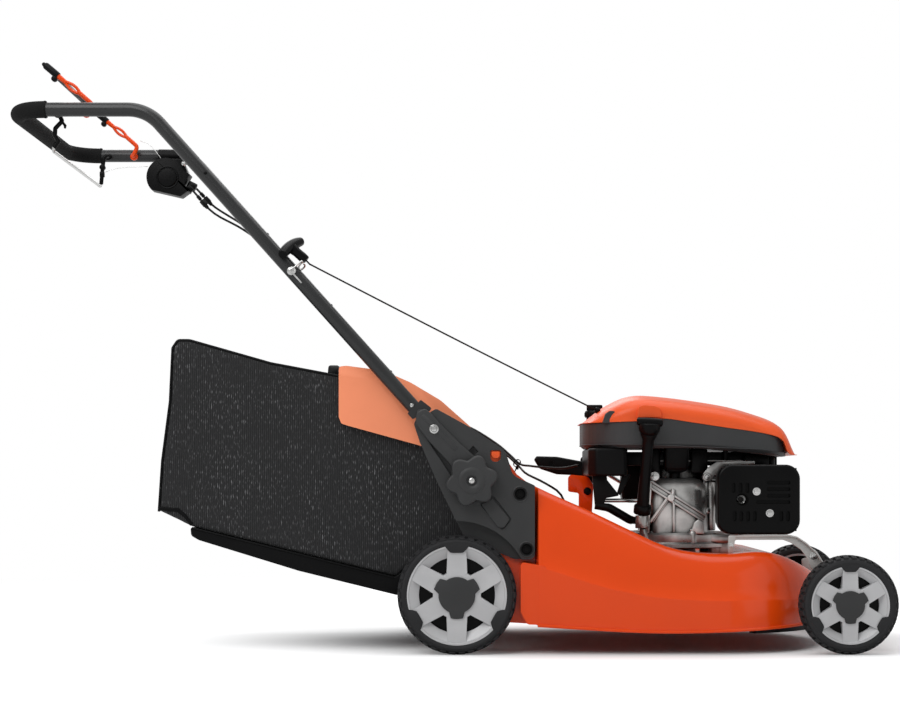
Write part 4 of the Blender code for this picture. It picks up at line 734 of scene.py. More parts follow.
class MOWER_OT_wheels(bpy.types.Operator):
    """Build the four wheels: treaded tyre, six-spoke rim and three-lobed hub cap"""

    bl_idname = "mower.wheels"
    bl_label = "Wheels"

    def execute(self, context):
        """Each wheel rides on its own body."""
        blocks = context.scene.mower_sizes.tread_rows
        for end in ("rear", "front"):
            for side, hand in SIDES:
                self.build(end + "_" + hand, *wheel_place(end), side, blocks)
        return {"FINISHED"}

    def build(self, name, middle, radius, width, rim, side, blocks):
        """One wheel, measured inward from its outer face."""
        face = side * -WHEEL_FACE
        centre = at(middle, face)
        inward = (0, -side, 0)
        body = name + "_wheel"
        k = rim / 0.088
        crown = radius - 0.004
        self.tyre(name, centre, inward, radius, crown, width, rim, side, blocks, body, k)
        seat = rim - 0.0003
        profile = [
            (0.0086, 0.004), (seat - 0.0042, 0.004), (seat - 0.0028, 0.0018), (seat, 0.0018), (seat, width - 0.003),
            (seat - 0.004, width - 0.003), (seat - 0.004, 0.019), (0.02, 0.019), (0.02, width - 0.0005),
            (0.0086, width - 0.0005),
        ]
        made = keep(name + "_spoked_rim", turned(profile, centre, inward, 96), "rim_silver", body, name + "_rim")
        carve(made, *[self.window(centre, side, k, 60 * n) for n in range(6)])
        soften(made, 0.0009, 2, 34)
        # Painted shade: a black disc behind the spokes makes the windows read black, standing in for the shade inside
        # the wheel.
        reach = seat - 0.0045
        shade_ring = rectangle(0.0205, reach, 0.0195, 0.0205)
        keep(name + "_shade_disc", turned(shade_ring, centre, inward, 72), "black_plastic", body)
        cap = []
        for n in range(72):
            angle = 5 * n
            near = min(abs((angle - lobe + 180) % 360 - 180) for lobe in (30, 150, 270))
            reach = 0.0322
            if near < 24:
                reach += 0.0092 * min(1.0, (24 - near) / 9.0)
                reach = min(reach, 0.0414 / max(cos(radians(near)), 0.93))
            cap.append((middle[0] + reach * k * cos(radians(angle)), middle[1] + reach * k * sin(radians(angle))))
        low, high = sorted((face - side * 0.0006, face - side * 0.0068))
        disc = plate(cap, low, high, 0.0014, 3)
        dome = turned(
            [
                (0, 0.0001), (0.01 * k, 0.0002), (0.018 * k, 0.0005), (0.024 * k, 0.001), (0.024 * k, 0.003),
                (0, 0.003),
            ],
            centre, inward, 48,
        )
        keep(name + "_trefoil_cap", fuse(disc, dome), "dark_plastic", body, name + "_hub_cap", slot="grey_plastic")

    def window(self, centre, side, k, middle):
        """A cutter for one window: wide at the face, narrow at the web, straight beyond it."""
        def outline(inner, outer, near_half, far_half):
            far = arc((0, 0), outer, middle + far_half, middle - far_half, 8)
            near = arc((0, 0), inner, middle - near_half, middle + near_half, 2)
            return far + near
        wide = outline(0.0418 * k, 0.0825 * k, 4.5, 18.5)
        narrow = outline(0.0425 * k, 0.067 * k, 4.0, 16.0)
        sections = []
        for depth, shape in ((-0.002, wide), (0.0041, wide), (0.0135, narrow), (0.03, narrow)):
            y = centre[1] - side * depth
            sections.append([Vector((centre[0] + a, y, centre[2] + b)) for a, b in shape])
        return skin(sections)

    def tyre(self, name, centre, inward, radius, crown, width, rim, side, blocks, body, k):
        """Tyre carcass with its tread blocks and the three pads that reach over the rim."""
        carcass = turned(
            [
                (rim, 0.01), (rim, 0.0022), (rim + 0.0015, 0.001), (rim + 0.006, 0.0004), (radius - 0.013, 0.0006),
                (radius - 0.008, 0.0024), (crown - 0.0012, 0.0065), (crown, 0.012), (crown, width - 0.012),
                (crown - 0.0012, width - 0.0065), (radius - 0.008, width - 0.0024), (radius - 0.013, width - 0.0006),
                (rim + 0.006, width - 0.0004), (rim, width - 0.0022), (rim, width - 0.01),
            ],
            centre, inward, 120,
        )
        tread = bmesh.new()
        turn = 2 * pi / blocks
        arc_length = radius * turn
        for n in range(blocks):
            for row, (low, high, shift) in enumerate(
                ((0.0042, 0.015, 0.0), (width * 0.36, width * 0.64, 0.5), (width - 0.015, width - 0.0042, 0.0))
            ):
                made = bmesh.ops.create_cube(tread, size=1.0)["verts"]
                long = arc_length * (0.62 if row != 1 else 0.72)
                bmesh.ops.scale(tread, vec=(0.0062, high - low, long), verts=made)
                slant = Matrix.Rotation(radians((0, 14, 0)[row]), 4, "X")
                place = Matrix.Translation((radius - 0.0031, (low + high) / 2, 0))
                spin = Matrix.Rotation((n + shift) * turn, 4, "Y")
                bmesh.ops.transform(tread, matrix=spin @ place @ slant, verts=made)
                for vert in made:
                    out = hypot(vert.co.x, vert.co.z)
                    edge = min(vert.co.y, width - vert.co.y)
                    limit = radius - 0.0034 if row != 1 and edge < 0.008 else radius
                    if out > limit:
                        vert.co.x *= limit / out
                        vert.co.z *= limit / out
        bmesh.ops.scale(tread, vec=(1, -side, 1), verts=tread.verts)
        bmesh.ops.translate(tread, verts=tread.verts, vec=centre)
        pads = bmesh.new()
        for lobe in (90, 210, 330):
            angle = radians(lobe)
            radial, across = Vector((cos(angle), sin(angle))), Vector((-sin(angle), cos(angle)))
            shape = []
            for reach, half in (
                (0.0925, 0.0245), (0.089, 0.0235), (0.08, 0.0165), (0.0752, 0.0115), (0.0745, 0.006),
            ):
                shape.append(radial * reach * k + across * half * k)
            shape += [s - across * 2 * s.dot(across) for s in reversed(shape)]
            outline = [(centre[0] + s.x, centre[2] + s.y) for s in shape]
            low, high = sorted((centre[1] - side * 0.0007, centre[1] - side * 0.006))
            fuse(pads, plate(outline, low, high, 0.001, 2))
        keep(name + "_treaded_tyre", fuse(carcass, tread, pads), "tyre_rubber", body, name + "_tyre")


# ---------------------------------------------------------------- handle and its mounts

FOOT = (-0.07, 0.428)
CORNER = (-0.553, 0.967)
LEG_ALONG = Vector((CORNER[0] - FOOT[0], 0, CORNER[1] - FOOT[1])).normalized()
HANDLE_REAR = -0.794
HANDLE_Y = 0.235
PIVOT = (0.026, 0.306)
BRACKET_FACE = 0.258


def leg_place(height):
    """A place on the leg's centre line at a height, as (x, z)."""
    (x0, z0), (x1, z1) = FOOT, CORNER
    return x0 + (x1 - x0) * (height - z0) / (z1 - z0), height


class MOWER_OT_brackets(bpy.types.Operator):
    """Build the two side brackets with their recesses and orange pegs"""

    bl_idname = "mower.brackets"
    bl_label = "Side brackets"

    def execute(self, context):
        """One bracket on each side."""
        for side, hand in SIDES:
            self.build(side, hand)
        return {"FINISHED"}

    def build(self, side, hand):
        """A moulded bracket, cut clear of its wheel."""
        outline = rounded(
            [
                (-0.037, 0.4335), (0.024, 0.4), (0.081, 0.362), (0.0885, 0.349), (0.0975, 0.319),
                (0.106, 0.312), (0.1375, 0.2975), (0.1375, 0.1665), (0.102, 0.1665), (0.014, 0.202),
                (-0.0345, 0.3015), (-0.066, 0.374), (-0.078, 0.411),
            ],
            [0.006, 0.05, 0.006, 0.01, 0.006, 0.006, 0.003, 0.01, 0.01, 0.02, 0.05, 0.03, 0.01], 4,
        )
        low, high = flank(side, NECK_HALF_WIDTH + 0.001, BRACKET_FACE)
        made = keep("bracket_" + hand, plate(outline, low, high), "dark_plastic", "chassis", "side_bracket_" + hand)
        face = side * BRACKET_FACE

        def pocket(shape, depth):
            bottom, top = sorted((face - side * depth, face + side * 0.003))
            return plate(shape, bottom, top)

        arch = REAR_AXLE_Z + 0.0245
        carve(made, cross_rod(0, REAR_AXLE_Z, side * 0.2365, side * 0.27, arch, 96))
        channel = [
            (-0.056, 0.385), (-0.0371, 0.3655), (-0.0237, 0.3495), (-0.0095, 0.3325), (-0.0105, 0.314),
            (-0.02, 0.329), (-0.031, 0.346), (-0.044, 0.365),
        ]
        square = [(0.0282, 0.368), (0.0378, 0.3578), (0.029, 0.348), (0.0196, 0.3585)]
        notch = rounded(rectangle(0.0585, 0.0775, 0.36, 0.3395), [0.003, 0.003, 0.009, 0.009], 4)
        tab = rounded([(0.04, 0.265), (0.064, 0.279), (0.096, 0.238), (0.08, 0.218)], 0.003, 3)
        for shape, depth in ((channel, 0.01), (square, 0.009), (notch, 0.0075), (tab, 0.003)):
            carve(made, pocket(shape, depth))
        for x, z in ((0.1117, 0.2825), (0.1231, 0.1845)):
            carve(made, cross_rod(x, z, face - side * 0.011, face + side * 0.002, 0.0122, 40))
            ring = turned(
                [(0.0124, 0.0), (0.0142, 0.0), (0.0146, 0.0008), (0.0138, 0.0013), (0.0126, 0.0012)],
                (x, face - side * 0.0002, z), (0, side, 0), 40,
            )
            bolt = fuse(
                cross_rod(x, z, face - side * 0.0108, face - side * 0.007, 0.0066, 6, 0.0006),
                cross_rod(x, z, face - side * 0.0108, face - side * 0.0096, 0.0095, 24, 0.0003),
            )
            name = "_upper_" if z > 0.2 else "_lower_"
            keep("socket_ring" + name + hand, ring, "dark_plastic", "chassis")
            keep("socket_bolt" + name + hand, bolt, "black_enamel", "chassis")
        soften(made, 0.0016, 3, 40)
        shell = fuse(
            plate(
                rounded(
                    [
                        (0.0605, 0.358), (0.0755, 0.358), (0.0755, 0.3505), (0.0715, 0.3455), (0.0645, 0.3455),
                        (0.0605, 0.3505),
                    ],
                    0.002, 3,
                ),
                *sorted((face - side * 0.007, face - side * 0.0006)), 0.0012, 3,
            ),
            plate(
                rounded(rectangle(0.058, 0.078, 0.3605, 0.339), 0.002, 3),
                *sorted((face - side * 0.0075, face - side * 0.0066)),
            ),
        )
        keep("peg_" + hand, shell, "orange_plastic", "chassis")
        floor = plate(
            rounded(rectangle(0.019, 0.039, 0.369, 0.347), 0.002, 2),
            *sorted((face - side * 0.01, face - side * 0.0092)),
        )
        keep("square_hole_floor_" + hand, floor, "orange_plastic", "chassis")


class MOWER_OT_arms(bpy.types.Operator):
    """Build the folding arms with their bolts, and the star knobs"""

    bl_idname = "mower.arms"
    bl_label = "Arms and knobs"

    def execute(self, context):
        """One arm and one knob on each side."""
        for side, hand in SIDES:
            self.arm(side, hand)
            self.knob(side, hand)
        return {"FINISHED"}

    def arm(self, side, hand):
        """The moulded arm: round head, long cheek, skirt round the knob, and the tab below."""
        low, high = BRACKET_FACE + 0.0004, BRACKET_FACE + 0.0118
        outline = rounded(
            [
                (-0.0725, 0.4265), (-0.057, 0.435), (-0.0425, 0.4216), (-0.0292, 0.4063), (0.0052, 0.3719),
                (0.0205, 0.3586), (0.0415, 0.3395), (0.06, 0.324), (0.06, 0.276), (0.012, 0.264),
                (-0.01, 0.29), (-0.0095, 0.3325), (-0.048, 0.3735), (-0.073, 0.405),
            ],
            [0.012, 0.01, 0.01, 0.02, 0.02, 0.02, 0.02, 0.014, 0.02, 0.02, 0.012, 0.006, 0.02, 0.01], 5,
        )
        shell = plate(outline, *flank(side, low, high - 0.0022), 0.003, 4)
        tab = rounded(
            [(0.0425, 0.264), (0.062, 0.2745), (0.0935, 0.238), (0.0815, 0.2205), (0.071, 0.225)],
            [0.001, 0.002, 0.008, 0.009, 0.006], 5,
        )
        fuse(shell, plate(tab, *flank(side, low, low + 0.0042), 0.0012, 3))
        rib = rounded([(-0.064, 0.4195), (-0.057, 0.4245), (0.002, 0.3655), (-0.004, 0.3575)], 0.003, 3)
        fuse(shell, plate(rib, *flank(side, high - 0.0034, high - 0.0014), 0.0009, 2))
        seat = HANDLE_Y + 0.0125
        fuse(shell, cross_rod(-0.065, 0.4262, side * (seat + 0.0003), side * (low + 0.003), 0.0062, 24, 0.001))
        lug = [(-0.0642, 0.4492), (-0.0455, 0.4345), (-0.048, 0.43), (-0.06, 0.424), (-0.079, 0.415), (-0.088, 0.425)]
        lug = plate(rounded(lug, 0.002, 3), *flank(side, seat + 0.0003, low + 0.001))
        keep("tube_end_lug_" + hand, lug, "tube_enamel", "handle")
        rx, rz = leg_place(0.4397)
        rivet = cross_rod(rx, rz, side * (seat - 0.002), side * (seat + 0.0009), 0.0036, 24, 0.0004)
        fuse(rivet, cross_rod(rx, rz, side * seat, side * (seat + 0.0014), 0.0013, 12, 0.0003))
        keep("tube_rivet_" + hand, rivet, "bright_steel", "handle")
        keep("arm_" + hand, shell, "dark_plastic", "handle", "handle_arm_" + hand)
        x, z = -0.0405, 0.3972
        washer = cross_rod(x, z, side * (high - 0.004), side * (high + 0.0004), 0.0082, 32, 0.0005)
        head = screw((x, side * (high + 0.0004), z), (0, side, 0), 0.0058, 0.0032)
        keep("arm_bolt_" + hand, fuse(washer, head), "bright_steel", "handle")

    def knob(self, side, hand):
        """A six-lobed grip knob with a collar and a bolt."""
        px, pz = PIVOT
        star = []
        for n in range(96):
            angle = radians(360 * n / 96)
            lobe = 0.5 + 0.5 * cos(6 * (angle - radians(12 * side * -1)))
            reach = 0.036 + 0.0102 * lobe ** 0.75
            star.append((px + reach * cos(angle), pz + reach * sin(angle)))
        low, high = BRACKET_FACE + 0.0124, -WHEEL_FACE - 0.0042
        base = plate(star, *flank(side, low, high), 0.0042, 4)
        crown = turned(
            [(0.024, -0.001), (0.0234, 0.0004), (0.0205, 0.0015), (0.018, 0.002), (0.015, 0.0018),
             (0.012, 0.0009), (0.01, 0.0001), (0.01, -0.001)],
            (px, side * high, pz), (0, side, 0), 64,
        )
        made = keep("knob_" + hand, base, "dark_plastic", "star_knob_" + hand, "star_knob_" + hand)
        carve(made, cross_rod(px, pz, side * (high - 0.0034), side * (high + 0.002), 0.0095, 48))
        keep("knob_crown_" + hand, crown, "dark_plastic", "star_knob_" + hand)
        tip = turned(
            [(0.0, 0.001), (0.0036, 0.0008), (0.0054, -0.0004), (0.0058, -0.0014), (0.0058, -0.0036), (0.0, -0.0036)],
            (px, side * high, pz), (0, side, 0), 32,
        )
        keep("knob_bolt_" + hand, tip, "bright_steel", "star_knob_" + hand)


class MOWER_OT_handle(bpy.types.Operator):
    """Build the bent handle tube and its foam grip"""

    bl_idname = "mower.handle"
    bl_label = "Handle"

    def execute(self, context):
        """The tube, its holes and plugs, and the grip."""
        radius = context.scene.mower_sizes.tube_radius
        top = CORNER[1]
        route = [
            at(FOOT, -HANDLE_Y), (CORNER[0], -HANDLE_Y, top), (HANDLE_REAR, -HANDLE_Y, top),
            (HANDLE_REAR, HANDLE_Y, top), (CORNER[0], HANDLE_Y, top), at(FOOT, HANDLE_Y),
        ]
        path = fillet(route, [0, 0.075, 0.06, 0.06, 0.075, 0], 12, closed=False)
        keep("tube", pipe(path, radius, 40), "tube_enamel", "handle", "handle_tube")
        for side, hand in SIDES:
            foot = Vector(at(FOOT, side * HANDLE_Y))
            plug = rod(foot - LEG_ALONG * 0.002, foot + LEG_ALONG * 0.004, radius + 0.0004, 40, 0.001)
            keep("tube_plug_" + hand, plug, "black_plastic", "handle")
            for height in (0.852, 0.437):
                # Painted shade: each hole is a black disc on the tube, its black standing in for the shade inside the
                # tube.
                x, z = leg_place(height)
                wall = HANDLE_Y + radius
                hole = cross_rod(x + 0.003, z, side * (wall - 0.0012), side * (wall + 0.0004), 0.0031, 20, 0.0003)
                keep("tube_hole_" + hand + ("_upper" if height > 0.5 else "_lower"), hole, "black_enamel", "handle")
        reach = HANDLE_REAR + 0.062
        sleeve = [(reach, -HANDLE_Y, top), *route[2:4], (reach, HANDLE_Y, top)]
        path = fillet(sleeve, 0.06, 12, closed=False)
        grip = pipe(path, [0.015] * len(path), 40)
        keep("foam_grip", grip, "foam", "handle", "handle_grip")
        for side, hand in SIDES:
            rim = turned(
                [(radius + 0.0002, 0.0), (0.015, 0.0), (0.0156, 0.001), (0.0156, 0.0034), (0.0148, 0.0046),
                 (radius + 0.0002, 0.0046)],
                (reach - 0.0042, side * HANDLE_Y, top), (1, 0, 0), 40,
            )
            keep("grip_rim_" + hand, rim, "foam", "handle")
        return {"FINISHED"}


# ---------------------------------------------------------------- controls on the handle

STOP_PIVOT = (-0.664, 0.963)
STOP_TIP = (-0.7488, 1.0589)
DRIVE_PIVOT = (-0.716, 0.962)
DRIVE_FOOT = (-0.728, 0.899)
LEG_INNER = HANDLE_Y - 0.0128
STOP_ROUTE = [
    (-0.535, 0.205, 0.8955), (-0.5, 0.208, 0.86), (-0.44, 0.218, 0.822), (-0.38, 0.219, 0.774), (-0.24, 0.219, 0.618),
    (-0.1, 0.219, 0.462), (-0.04, 0.219, 0.435), (0.02, 0.219, 0.412), (0.07, 0.203, 0.381), (0.096, 0.18, 0.359),
    (0.118, 0.152, 0.3385), (0.136, 0.122, 0.335), (0.16, 0.095, 0.332), (0.2, 0.07, 0.33), (0.23, 0.05, 0.336),
]
DRIVE_ROUTE = [
    (-0.54, 0.198, 0.889), (-0.5, 0.199, 0.846), (-0.44, 0.218, 0.813), (-0.38, 0.219, 0.764), (-0.24, 0.219, 0.606),
    (-0.1, 0.219, 0.449), (-0.04, 0.219, 0.425), (0.02, 0.219, 0.403), (0.07, 0.198, 0.3755), (0.096, 0.172, 0.353),
    (0.116, 0.147, 0.3335), (0.13, 0.108, 0.319), (0.16, 0.098, 0.304), (0.19, 0.1, 0.286), (0.2, 0.102, 0.2735),
    (0.205, 0.103, 0.262),
]
ROPE_OUTLET = (0.258, -0.06, 0.438)
ROPE_REST = (-0.2631, -0.2366, 0.6916)


def free_line(name, path, radius, finish, nodes=(), sides=12):
    """A cable or rope between two bodies: a tube on its own path, bent across the joint."""
    bm = pipe(path, radius, sides)
    bmesh.ops.recalc_face_normals(bm, faces=bm.faces)
    made = new_object(name, bm)
    made.data.shade_smooth()
    made.data.materials.append(FINISHES[finish])
    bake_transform(made)
    if nodes:
        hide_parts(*nodes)


class MOWER_OT_bails(bpy.types.Operator):
    """Build the engine-stop bail and the drive bail"""

    bl_idname = "mower.bails"
    bl_label = "Bails"

    def execute(self, context):
        """Both bails, with their sleeves."""
        self.stop_bail()
        self.drive_bail()
        return {"FINISHED"}

    def stop_bail(self):
        """Orange arms with long eyes, black sleeves above them and a black crossbar."""
        body = "engine_stop_bail"
        y = LEG_INNER - 0.012
        bar = bmesh.new()
        for side in (-1, 1):
            root = [
                at(STOP_PIVOT, side * LEG_INNER), at(STOP_PIVOT, side * y),
                (-0.6555, side * y, 0.9815), (-0.68, side * y, 1.003),
            ]
            fuse(bar, pipe(fillet(root, [0, 0.007, 0.007, 0], 5, closed=False), 0.0042, 16))
            for bow in (-1, 1):
                strand = [(-0.676, side * y, 0.9995)]
                for k in range(1, 8):
                    share = k / 8
                    x = -0.676 - 0.029 * share
                    z = 0.9995 + 0.0228 * share
                    out = 0.0046 * sin(pi * share) * bow
                    strand.append((x + out * 0.62, side * y, z + out * 0.79))
                strand.append((-0.705, side * y, 1.0223))
                fuse(bar, pipe(strand, 0.0029, 12))
            fuse(bar, pipe([(-0.702, side * y, 1.02), (-0.718, side * y, 1.033)], [0.0038, 0.005], 16))
            fuse(bar, cross_rod(*STOP_PIVOT, side * LEG_INNER, side * (LEG_INNER - 0.005), 0.0078, 28, 0.0012))
        keep("stop_bail_arms", bar, "orange_enamel", body, "engine_stop_bail")
        cover = bmesh.new()
        for side in (-1, 1):
            fuse(
                cover,
                pipe([(-0.7165, side * y, 1.0318), (-0.7195, side * y, 1.0344), (-0.7385, side * y, 1.0503),
                      (-0.7405, side * y, 1.052)], [0.006, 0.0064, 0.0064, 0.0052], 20),
                cross_rod(-0.7235, 1.027, side * (y - 0.0045), side * (y + 0.0045), 0.0052, 24, 0.001),
            )
        tip = (STOP_TIP[0] + 0.004, STOP_TIP[1] - 0.0036)
        route = [(-0.733, -y, 1.0457), at(tip, -y), at(tip, y), (-0.733, y, 1.0457)]
        fuse(
            cover, pipe(fillet(route, [0, 0.012, 0.012, 0], 6, closed=False), 0.0038, 16),
            pipe([at(tip, -0.18), at(tip, 0.18)], 0.0052, 20),
        )
        keep("stop_bail_sleeve", cover, "black_plastic", body)

    def drive_bail(self):
        """A bright wire bail with black arms."""
        body = "drive_bail"
        y = LEG_INNER - 0.022
        heel = (DRIVE_FOOT[0] + 0.001, DRIVE_FOOT[1] + 0.008)
        wire = [at(heel, -y), at(DRIVE_FOOT, -y), at(DRIVE_FOOT, y), at(heel, y)]
        keep(
            "drive_bail_wire", pipe(fillet(wire, [0, 0.006, 0.006, 0], 6, closed=False), 0.003, 16), "bright_steel",
            body, "drive_bail",
        )
        arms = bmesh.new()
        near = [
            at(DRIVE_PIVOT, -LEG_INNER), at(DRIVE_PIVOT, -y), (-0.712, -y, 0.953),
            (-0.7245, -y, 0.94), (-0.725, -y, 0.927), (-0.7185, -y, 0.917), (-0.727, -y, 0.905),
        ]
        fuse(
            arms, pipe(fillet(near, [0, 0.004, 0.003, 0.005, 0.004, 0.003, 0], 4, closed=False), 0.004, 14),
            pipe([(-0.712, -y, 0.952), (-0.7065, -y, 0.945), (-0.707, -y, 0.94)], [0.0024, 0.0026, 0.0018], 10),
        )
        far = [
            at(DRIVE_PIVOT, LEG_INNER), at(DRIVE_PIVOT, y), (-0.7215, y, 0.956),
            (-0.724, y, 0.935), (-0.7268, y, 0.904),
        ]
        fuse(
            arms, pipe(fillet(far, [0, 0.004, 0.004, 0.01, 0], 4, closed=False), 0.004, 14),
            cross_rod(-0.7238, 0.9375, y - 0.006, y + 0.004, 0.0058, 20, 0.001),
            block(-0.7295, -0.72, y - 0.004, y + 0.004, 0.918, 0.929, 0.0014),
        )
        for side in (-1, 1):
            fuse(arms, cross_rod(*DRIVE_PIVOT, side * LEG_INNER, side * (LEG_INNER - 0.005), 0.0068, 24, 0.001))
        keep("drive_bail_arms", arms, "black_plastic", body)


class MOWER_OT_controls(bpy.types.Operator):
    """Build the control box, its cables and the wires from the bails"""

    bl_idname = "mower.controls"
    bl_label = "Control box and cables"

    def execute(self, context):
        """The box first, then what runs into it."""
        cx, cz, radius = -0.5945, 0.9165, 0.0385
        inner, outer = LEG_INNER - 0.036, LEG_INNER - 0.0007
        flat = 0.8775
        outline = [(cx - 0.02, flat), (cx + 0.03, flat), (-0.548, flat + 0.012), (-0.54, 0.905), (-0.546, 0.922)]
        outline += arc((cx, cz), radius, 18, 222, 28)
        shell = plate(rounded(outline[:4], [0, 0.004, 0.006, 0.008], 4)[1:] + outline[4:], inner, outer, 0.0032, 3)
        neck = rounded(
            [(cx - 0.012, cz), (cx - 0.012, 0.954), (cx + 0.03, 0.954), (cx + 0.046, 0.92)],
            [0.001, 0.003, 0.003, 0.01], 4,
        )
        fuse(shell, plate(neck, inner + 0.006, HANDLE_Y + 0.003, 0.002, 2))
        dial = turned(
            [(0.0, 0.0038), (0.012, 0.0036), (0.0175, 0.0028), (0.019, 0.001), (0.019, -0.004), (0.0, -0.004)],
            (cx + 0.004, inner, cz - 0.001), (0, -1, 0), 64,
        )
        groove = turned(
            [(0.0205, -0.001), (0.0205, 0.0012), (0.0216, 0.0016), (0.0228, 0.0012), (0.0228, -0.001)],
            (cx + 0.004, inner, cz - 0.001), (0, -1, 0), 64,
        )
        fuse(
            shell, dial, groove, rod((-0.552, 0.205, 0.9045), (-0.5365, 0.205, 0.8965), 0.0085, 20, 0.0015),
            rod((-0.552, 0.198, 0.8985), (-0.5415, 0.198, 0.89), 0.0058, 20, 0.001),
        )
        keep("control_case", shell, "black_plastic", "handle", "control_box")
        cap = turned([(0.0, 0.004), (0.003, 0.0038), (0.0045, 0.002), (0.0045, -0.002), (0.0, -0.002)],
                     (cx + 0.036, inner - 0.001, 0.942), (0.3, -1, 0.4), 20)
        keep("control_case_screw", cap, "bright_steel", "handle")
        band = pipe([(-0.616, HANDLE_Y, 0.967), (-0.57, HANDLE_Y, 0.9665)], 0.0134, 32)
        keep("control_clamp", band, "black_plastic", "handle")
        for name, node, route, ends in (
            ("stop_cable", "engine_stop_cable", STOP_ROUTE, [(0.06, 0.205, 0.392), (-0.05, 0.219, 0.438)]),
            ("clutch_cable", "drive_cable", DRIVE_ROUTE, [(0.06, 0.203, 0.383), (-0.05, 0.219, 0.428)]),
        ):
            path = smooth_line(route, 0.012)
            free_line(name, path, 0.0022, "cable_sheath", (node,))
            self.adjuster(name + "_adjuster", path)
        self.ties()
        stop_wire = [(-0.65, 0.213, 0.9935), (-0.63, 0.212, 0.9845), (-0.606, 0.21, 0.956)]
        drive_wire = [(-0.719, 0.204, 0.929), (-0.69, 0.203, 0.937), (-0.633, 0.202, 0.94)]
        for name, spots, body in (
            ("stop_wire", stop_wire, "engine_stop_bail"), ("drive_wire", drive_wire, "drive_bail"),
        ):
            free_line(
                name, smooth_line(spots, 0.006), 0.0005, "bright_steel",
                sides=8,
            )
        return {"FINISHED"}

    def adjuster(self, name, path):
        """The barrel adjuster a little below the box."""
        start, end = Vector(path[1]), Vector(path[3])
        along = (end - start).normalized()
        shell = rod(start, start + along * 0.01, 0.0036, 20, 0.0006)
        fuse(
            shell, rod(start + along * 0.012, start + along * 0.026, 0.0052, 6, 0.001),
            rod(start + along * 0.026, start + along * 0.033, 0.0044, 20, 0.0008, 0.003),
        )
        keep(name, shell, "black_plastic", "handle")

    def ties(self):
        """Cable ties round both cables and the left leg, and the tie in front of the bracket."""
        for n, height in enumerate((0.8, 0.655, 0.52)):
            x, z = leg_place(height)
            band = rectangle(0.0127, 0.0138, -0.0018, 0.0018)
            band = turned(band, (x, HANDLE_Y, z), LEG_ALONG, 32)
            keep("cable_tie_" + str(n), band, "black_plastic", "handle")
        spot = Vector((0.112, 0.156, 0.3405))
        loop = turned(rectangle(0.0074, 0.0085, -0.0014, 0.0014), spot, (0.54, -0.69, -0.48), 24)
        tail = pipe([spot + Vector((0, -0.002, -0.007)), spot + Vector((-0.006, -0.003, -0.02))], 0.0012, 8)
        head = block(
            spot.x - 0.003, spot.x + 0.003, spot.y - 0.003, spot.y + 0.003, spot.z - 0.013, spot.z - 0.006, 0.0008,
        )
        keep("cable_tie_front", fuse(loop, tail, head), "black_plastic", "chassis")


class MOWER_OT_starter(bpy.types.Operator):
    """Build the starter grip, its wire guide and the rope"""

    bl_idname = "mower.starter"
    bl_label = "Starter"

    def execute(self, context):
        """Grip, guide, rope."""
        guide = Vector((-0.263, -HANDLE_Y, 0.693))
        along = Vector((-0.759, 0, 0.651)).normalized()
        base = guide + along * 0.008
        head = base + along * 0.038
        across = Vector((0.651 * 0.57, 0.82, 0.759 * 0.57)).normalized()
        stem = pipe(
            [base, base + along * 0.002, base + along * 0.01, base + along * 0.022, base + along * 0.034],
            [0.007, 0.0082, 0.0088, 0.0084, 0.01], 24,
        )
        bar_path, radii = [], []
        for k in range(-6, 7):
            share = k / 6
            bar_path.append(head + across * 0.035 * share - along * 0.004 * share * share)
            radii.append(0.01 - 0.0022 * abs(share) ** 3)
        bar = pipe(bar_path, radii, 24)
        keep("pull_grip", fuse(stem, bar), "black_plastic", "starter_grip", "starter_grip")

        face = -(HANDLE_Y + 0.0128)
        mark = Vector((leg_place(0.678)[0], face, 0.678))
        washer = turned(
            [
                (0.0, -0.0052), (0.004, -0.005), (0.006, -0.004), (0.0076, -0.003), (0.008, -0.0012), (0.008, 0.0),
                (0.0, 0.0),
            ],
            mark, (0, 1, 0), 40,
        )
        wire = [mark + Vector(step) for step in (
            (0.018, -0.003, -0.0215), (0.004, -0.0052, -0.006), (-0.003, -0.0056, 0.001), (0.005, -0.0052, 0.006),
            (0.017, -0.003, 0.0165), (0.0185, 0.004, 0.0165), (0.012, 0.01, 0.0085), (0.0155, 0.011, 0.0035),
            (0.023, 0.006, 0.009), (0.0215, -0.001, 0.0135),
        )]
        loop = pipe(smooth_line(wire, 0.0016), 0.0016, 12)
        keep("wire_guide", fuse(washer, loop), "bright_steel", "handle", "rope_guide")

        end = base + along * 0.001
        rest, outlet = Vector(ROPE_REST), Vector(ROPE_OUTLET)
        path = [outlet]
        for k in range(1, 24):
            share = k / 24
            sag = -0.0016 * sin(pi * share)
            path.append(outlet.lerp(rest, share) + Vector((0, 0, sag)))
        path.append(rest)
        radius = context.scene.mower_sizes.rope_radius
        free_line(
            "pull_rope", path, radius, "rope_fibre", ("starter_rope",),
            sides=10,
        )
        path = [rest.lerp(end, k / 6) for k in range(7)] + [base.lerp(head, k / 8) for k in range(1, 8)]
        free_line(
            "grip_rope", path, radius, "rope_fibre",
            sides=10,
        )
        return {"FINISHED"}


# ---------------------------------------------------------------- bag and flap

MOUTH_X = 0.0342
BAG_TOP = [
    (MOUTH_X, 0.35), (0.014, 0.352), (-0.031, 0.412), (-0.085, 0.456), (-0.134, 0.479), (-0.219, 0.4965),
    (-0.336, 0.5185), (-0.482, 0.56), (-0.503, 0.56), (-0.5125, 0.546),
]
BAG_REAR = [(-0.517, 0.45), (-0.531, 0.343), (-0.537, 0.252)]
BAG_BOTTOM = [(-0.478, 0.224), (-0.112, 0.134), (-0.06, 0.1725), (MOUTH_X, 0.1785)]
BAG_HALF = 0.208
FLAP_HALF = 0.2145
FLAP_HINGE = (0.03, 0.374)
FLAP_CREASE = [
    (-0.213, 0.4965), (-0.1654, 0.4897), (-0.1408, 0.4805), (-0.1192, 0.4589), (-0.0791, 0.4064), (-0.06, 0.372),
]


